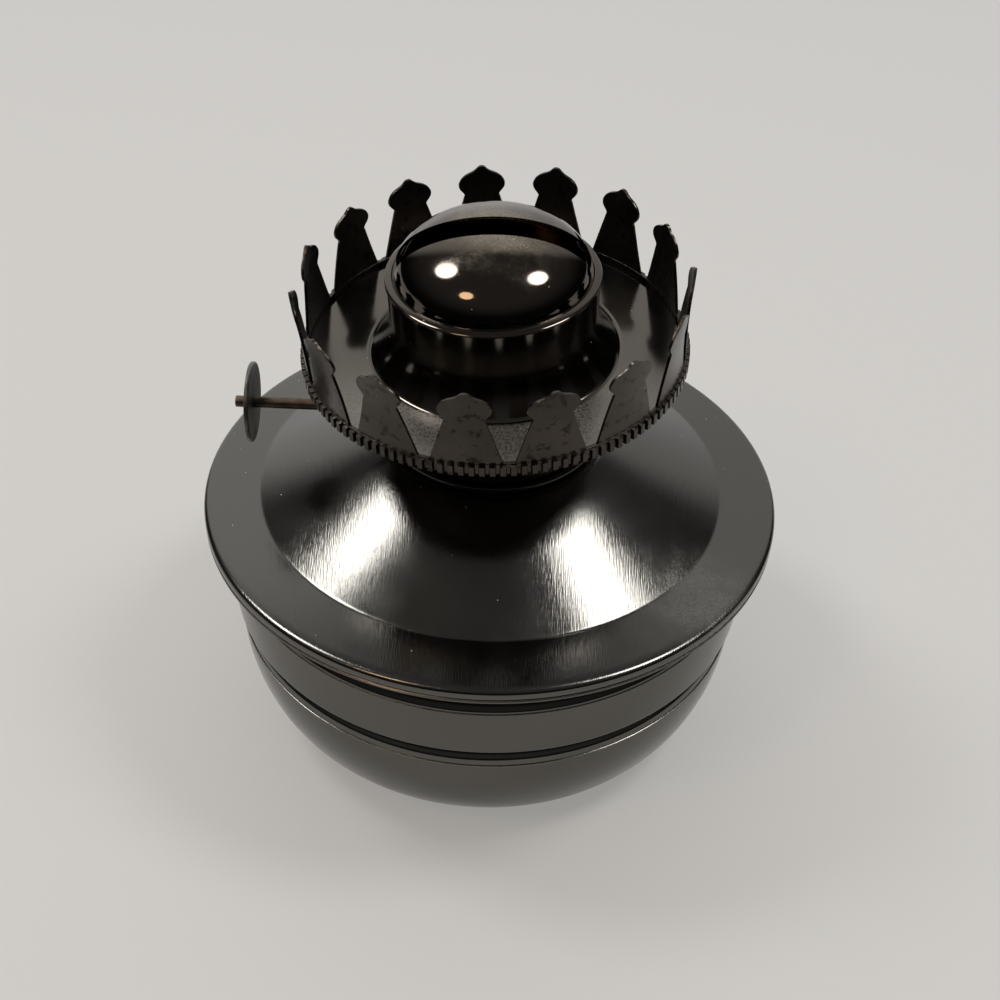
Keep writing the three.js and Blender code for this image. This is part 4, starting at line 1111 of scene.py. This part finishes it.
class LAMP_OT_stage(bpy.types.Operator):
    """Pale floor, round lamps, the room round them, and the camera"""

    bl_idname = "lamp.stage"
    bl_label = "Stage"

    def floor(self, colour):
        """A flat matt table top that ends a little in front of the lamp."""
        mesh = bpy.data.meshes.new("floor")
        reach, front = FLOOR_REACH, FLOOR_FRONT
        corners = [(-reach, front, 0), (reach, front, 0), (reach, reach, 0), (-reach, reach, 0)]
        mesh.from_pydata(corners, [], [(0, 1, 2, 3)])
        floor = bpy.data.objects.new("floor", mesh)
        bpy.context.scene.collection.objects.link(floor)

        def build(tree, mm):
            """Half of what the camera and the metal see near the lamp is the plain colour, so that the
            shadow stays soft, and all of it far away, where the floor meets the backdrop."""
            lit = add(tree, SHADER, {"Base Color": colour, "Roughness": 0.9, "Specular IOR Level": 0.2})
            plain = add(tree, "ShaderNodeEmission", {"Color": colour, "Strength": 1.0})
            rays = [add(tree, "ShaderNodeLightPath", {}, f"Is {kind} Ray") for kind in ("Camera", "Glossy")]
            seen = add(tree, MATH, {0: rays[0], 1: rays[1]}, operation="MAXIMUM")
            away = add(tree, VECTOR, {0: mm}, "Value", operation="LENGTH")
            span = {"Value": away, "From Min": 250, "From Max": 1000, "To Min": 0.5, "To Max": 1.0}
            share = add(tree, MATH, {0: seen, 1: add(tree, RANGE, span, **SOFT)}, operation="MULTIPLY")
            return add(tree, "ShaderNodeMixShader", {0: share, 1: lit, 2: plain})

        mesh.materials.append(material_of("pale_floor", build))

    def room(self, s):
        """A dim room with a round pale part beyond the lamp, low down, a little darker on its right. The
        camera sees the floor's colour in its place."""
        world = bpy.data.worlds.new("room")
        bpy.context.scene.world = world
        world.use_nodes = True
        tree = world.node_tree
        tree.nodes.clear()
        place = add(tree, "ShaderNodeTexCoord", {}, "Generated")
        across = add(tree, PART, {"Vector": place}, "X")
        near = add(tree, VECTOR, {0: place, 1: PALE_SIDE}, "Value", operation="DOT_PRODUCT")
        pale = add(tree, RANGE, {"Value": near, "From Min": 0.69, "From Max": 0.81}, **SOFT)
        span = {"From Min": 0.1, "From Max": 0.75, "To Min": 0.1 * s.shade, "To Max": s.shade}
        dim = add(tree, RANGE, {"Value": across.node.outputs["Z"], **span}, **SOFT)
        span = {"From Min": -0.1, "From Max": 0.3, "To Min": s.sky, "To Max": 0.68 * s.sky}
        sky = add(tree, RANGE, {"Value": across, **span}, **SOFT)
        strength = add(tree, MATH, {0: pale, 1: sky, 2: dim}, operation="MULTIPLY_ADD")
        light = add(tree, "ShaderNodeBackground", {"Strength": strength})
        seen = add(tree, "ShaderNodeBackground", {"Color": tuple(s.floor), "Strength": 1.0})
        camera_ray = add(tree, "ShaderNodeLightPath", {}, "Is Camera Ray")
        both = add(tree, "ShaderNodeMixShader", {0: camera_ray, 1: light, 2: seen})
        add(tree, "ShaderNodeOutputWorld", {"Surface": both})

    def lamps(self):
        """Two round ceiling lamps, a small warm one in front, and a broad soft one above that only lights
        what is matt, all aimed at the object."""
        for name, direction, away, diameter, watts, colour in LAMPS:
            light = bpy.data.lights.new(name, "AREA")
            light.shape = "DISK"
            light.size = diameter
            light.energy = watts
            light.color = colour
            lamp = bpy.data.objects.new(name, light)
            bpy.context.scene.collection.objects.link(lamp)
            place = Vector(direction).normalized() * away
            lamp.location = place + Vector((0, 0, LAMP_AIM_HEIGHT))
            lamp.rotation_mode = "QUATERNION"
            lamp.rotation_quaternion = place.to_track_quat("Z", "Y")
            lamp.visible_glossy = name != "soft_lamp"

    def camera(self, s):
        """The camera at the photograph's angle: aimed by elevation, roll and distance."""
        e, r = s.elevation, s.roll
        back = np.array([0, -math.cos(e), math.sin(e)])
        up, right = np.array([0, math.sin(e), math.cos(e)]), np.array([1.0, 0, 0])
        x_axis = right * math.cos(r) + up * math.sin(r)
        y_axis = -right * math.sin(r) + up * math.cos(r)
        slide = (x_axis * CAMERA_SLIDE[0] + y_axis * CAMERA_SLIDE[1]) * MM
        place = np.array([0, 0, AIM_HEIGHT]) + back * s.distance + slide
        data = bpy.data.cameras.new("camera")
        data.sensor_width = 36
        data.lens = s.lens
        data.clip_start = 0.01
        camera = bpy.data.objects.new("camera", data)
        bpy.context.scene.collection.objects.link(camera)
        axes = Matrix([x_axis, y_axis, back]).transposed()
        camera.matrix_world = Matrix.Translation(place) @ axes.to_4x4()
        bpy.context.scene.camera = camera

    def execute(self, context):
        s = context.scene.lamp_stage
        self.floor(tuple(s.floor))
        self.room(s)
        self.lamps()
        self.camera(s)
        context.scene.view_settings.view_transform = "Standard"
        return {"FINISHED"}


OPERATORS = (
    LAMP_OT_font_bowl, LAMP_OT_font_top, LAMP_OT_collar, LAMP_OT_burner_shell, LAMP_OT_gallery_plate,
    LAMP_OT_prong_crown, LAMP_OT_dome, LAMP_OT_spindle, LAMP_OT_wick, LAMP_OT_works, LAMP_OT_stage,
)
GROUPS = (
    ("lamp_font", LampFontSizes),
    ("lamp_burner", LampBurnerSizes),
    ("lamp_gallery", LampGallerySizes),
    ("lamp_finishes", LampFinishes),
    ("lamp_stage", LampStage),
)


class LAMP_PT_panel(bpy.types.Panel):
    """Lists the pieces in the 3D view's sidebar"""

    bl_idname = "LAMP_PT_panel"
    bl_label = "Oil lamp"
    bl_space_type = "VIEW_3D"
    bl_region_type = "UI"
    bl_category = "Oil lamp"

    def draw(self, context):
        for operator in OPERATORS:
            self.layout.operator(operator.bl_idname)
        for name, group in GROUPS:
            box = self.layout.box()
            for key in group.__annotations__:
                box.prop(getattr(context.scene, name), key)


def register():
    for name, group in GROUPS:
        bpy.utils.register_class(group)
        setattr(bpy.types.Scene, name, PointerProperty(type=group))
    for kind in (*OPERATORS, LAMP_PT_panel):
        bpy.utils.register_class(kind)


def unregister():
    for kind in (LAMP_PT_panel, *reversed(OPERATORS)):
        bpy.utils.unregister_class(kind)
    for name, group in reversed(GROUPS):
        delattr(bpy.types.Scene, name)
        bpy.utils.unregister_class(group)


def main():
    register()
    for operator in OPERATORS:
        group, name = operator.bl_idname.split(".")
        getattr(getattr(bpy.ops, group), name)()


if __name__ == "__main__":
    main()
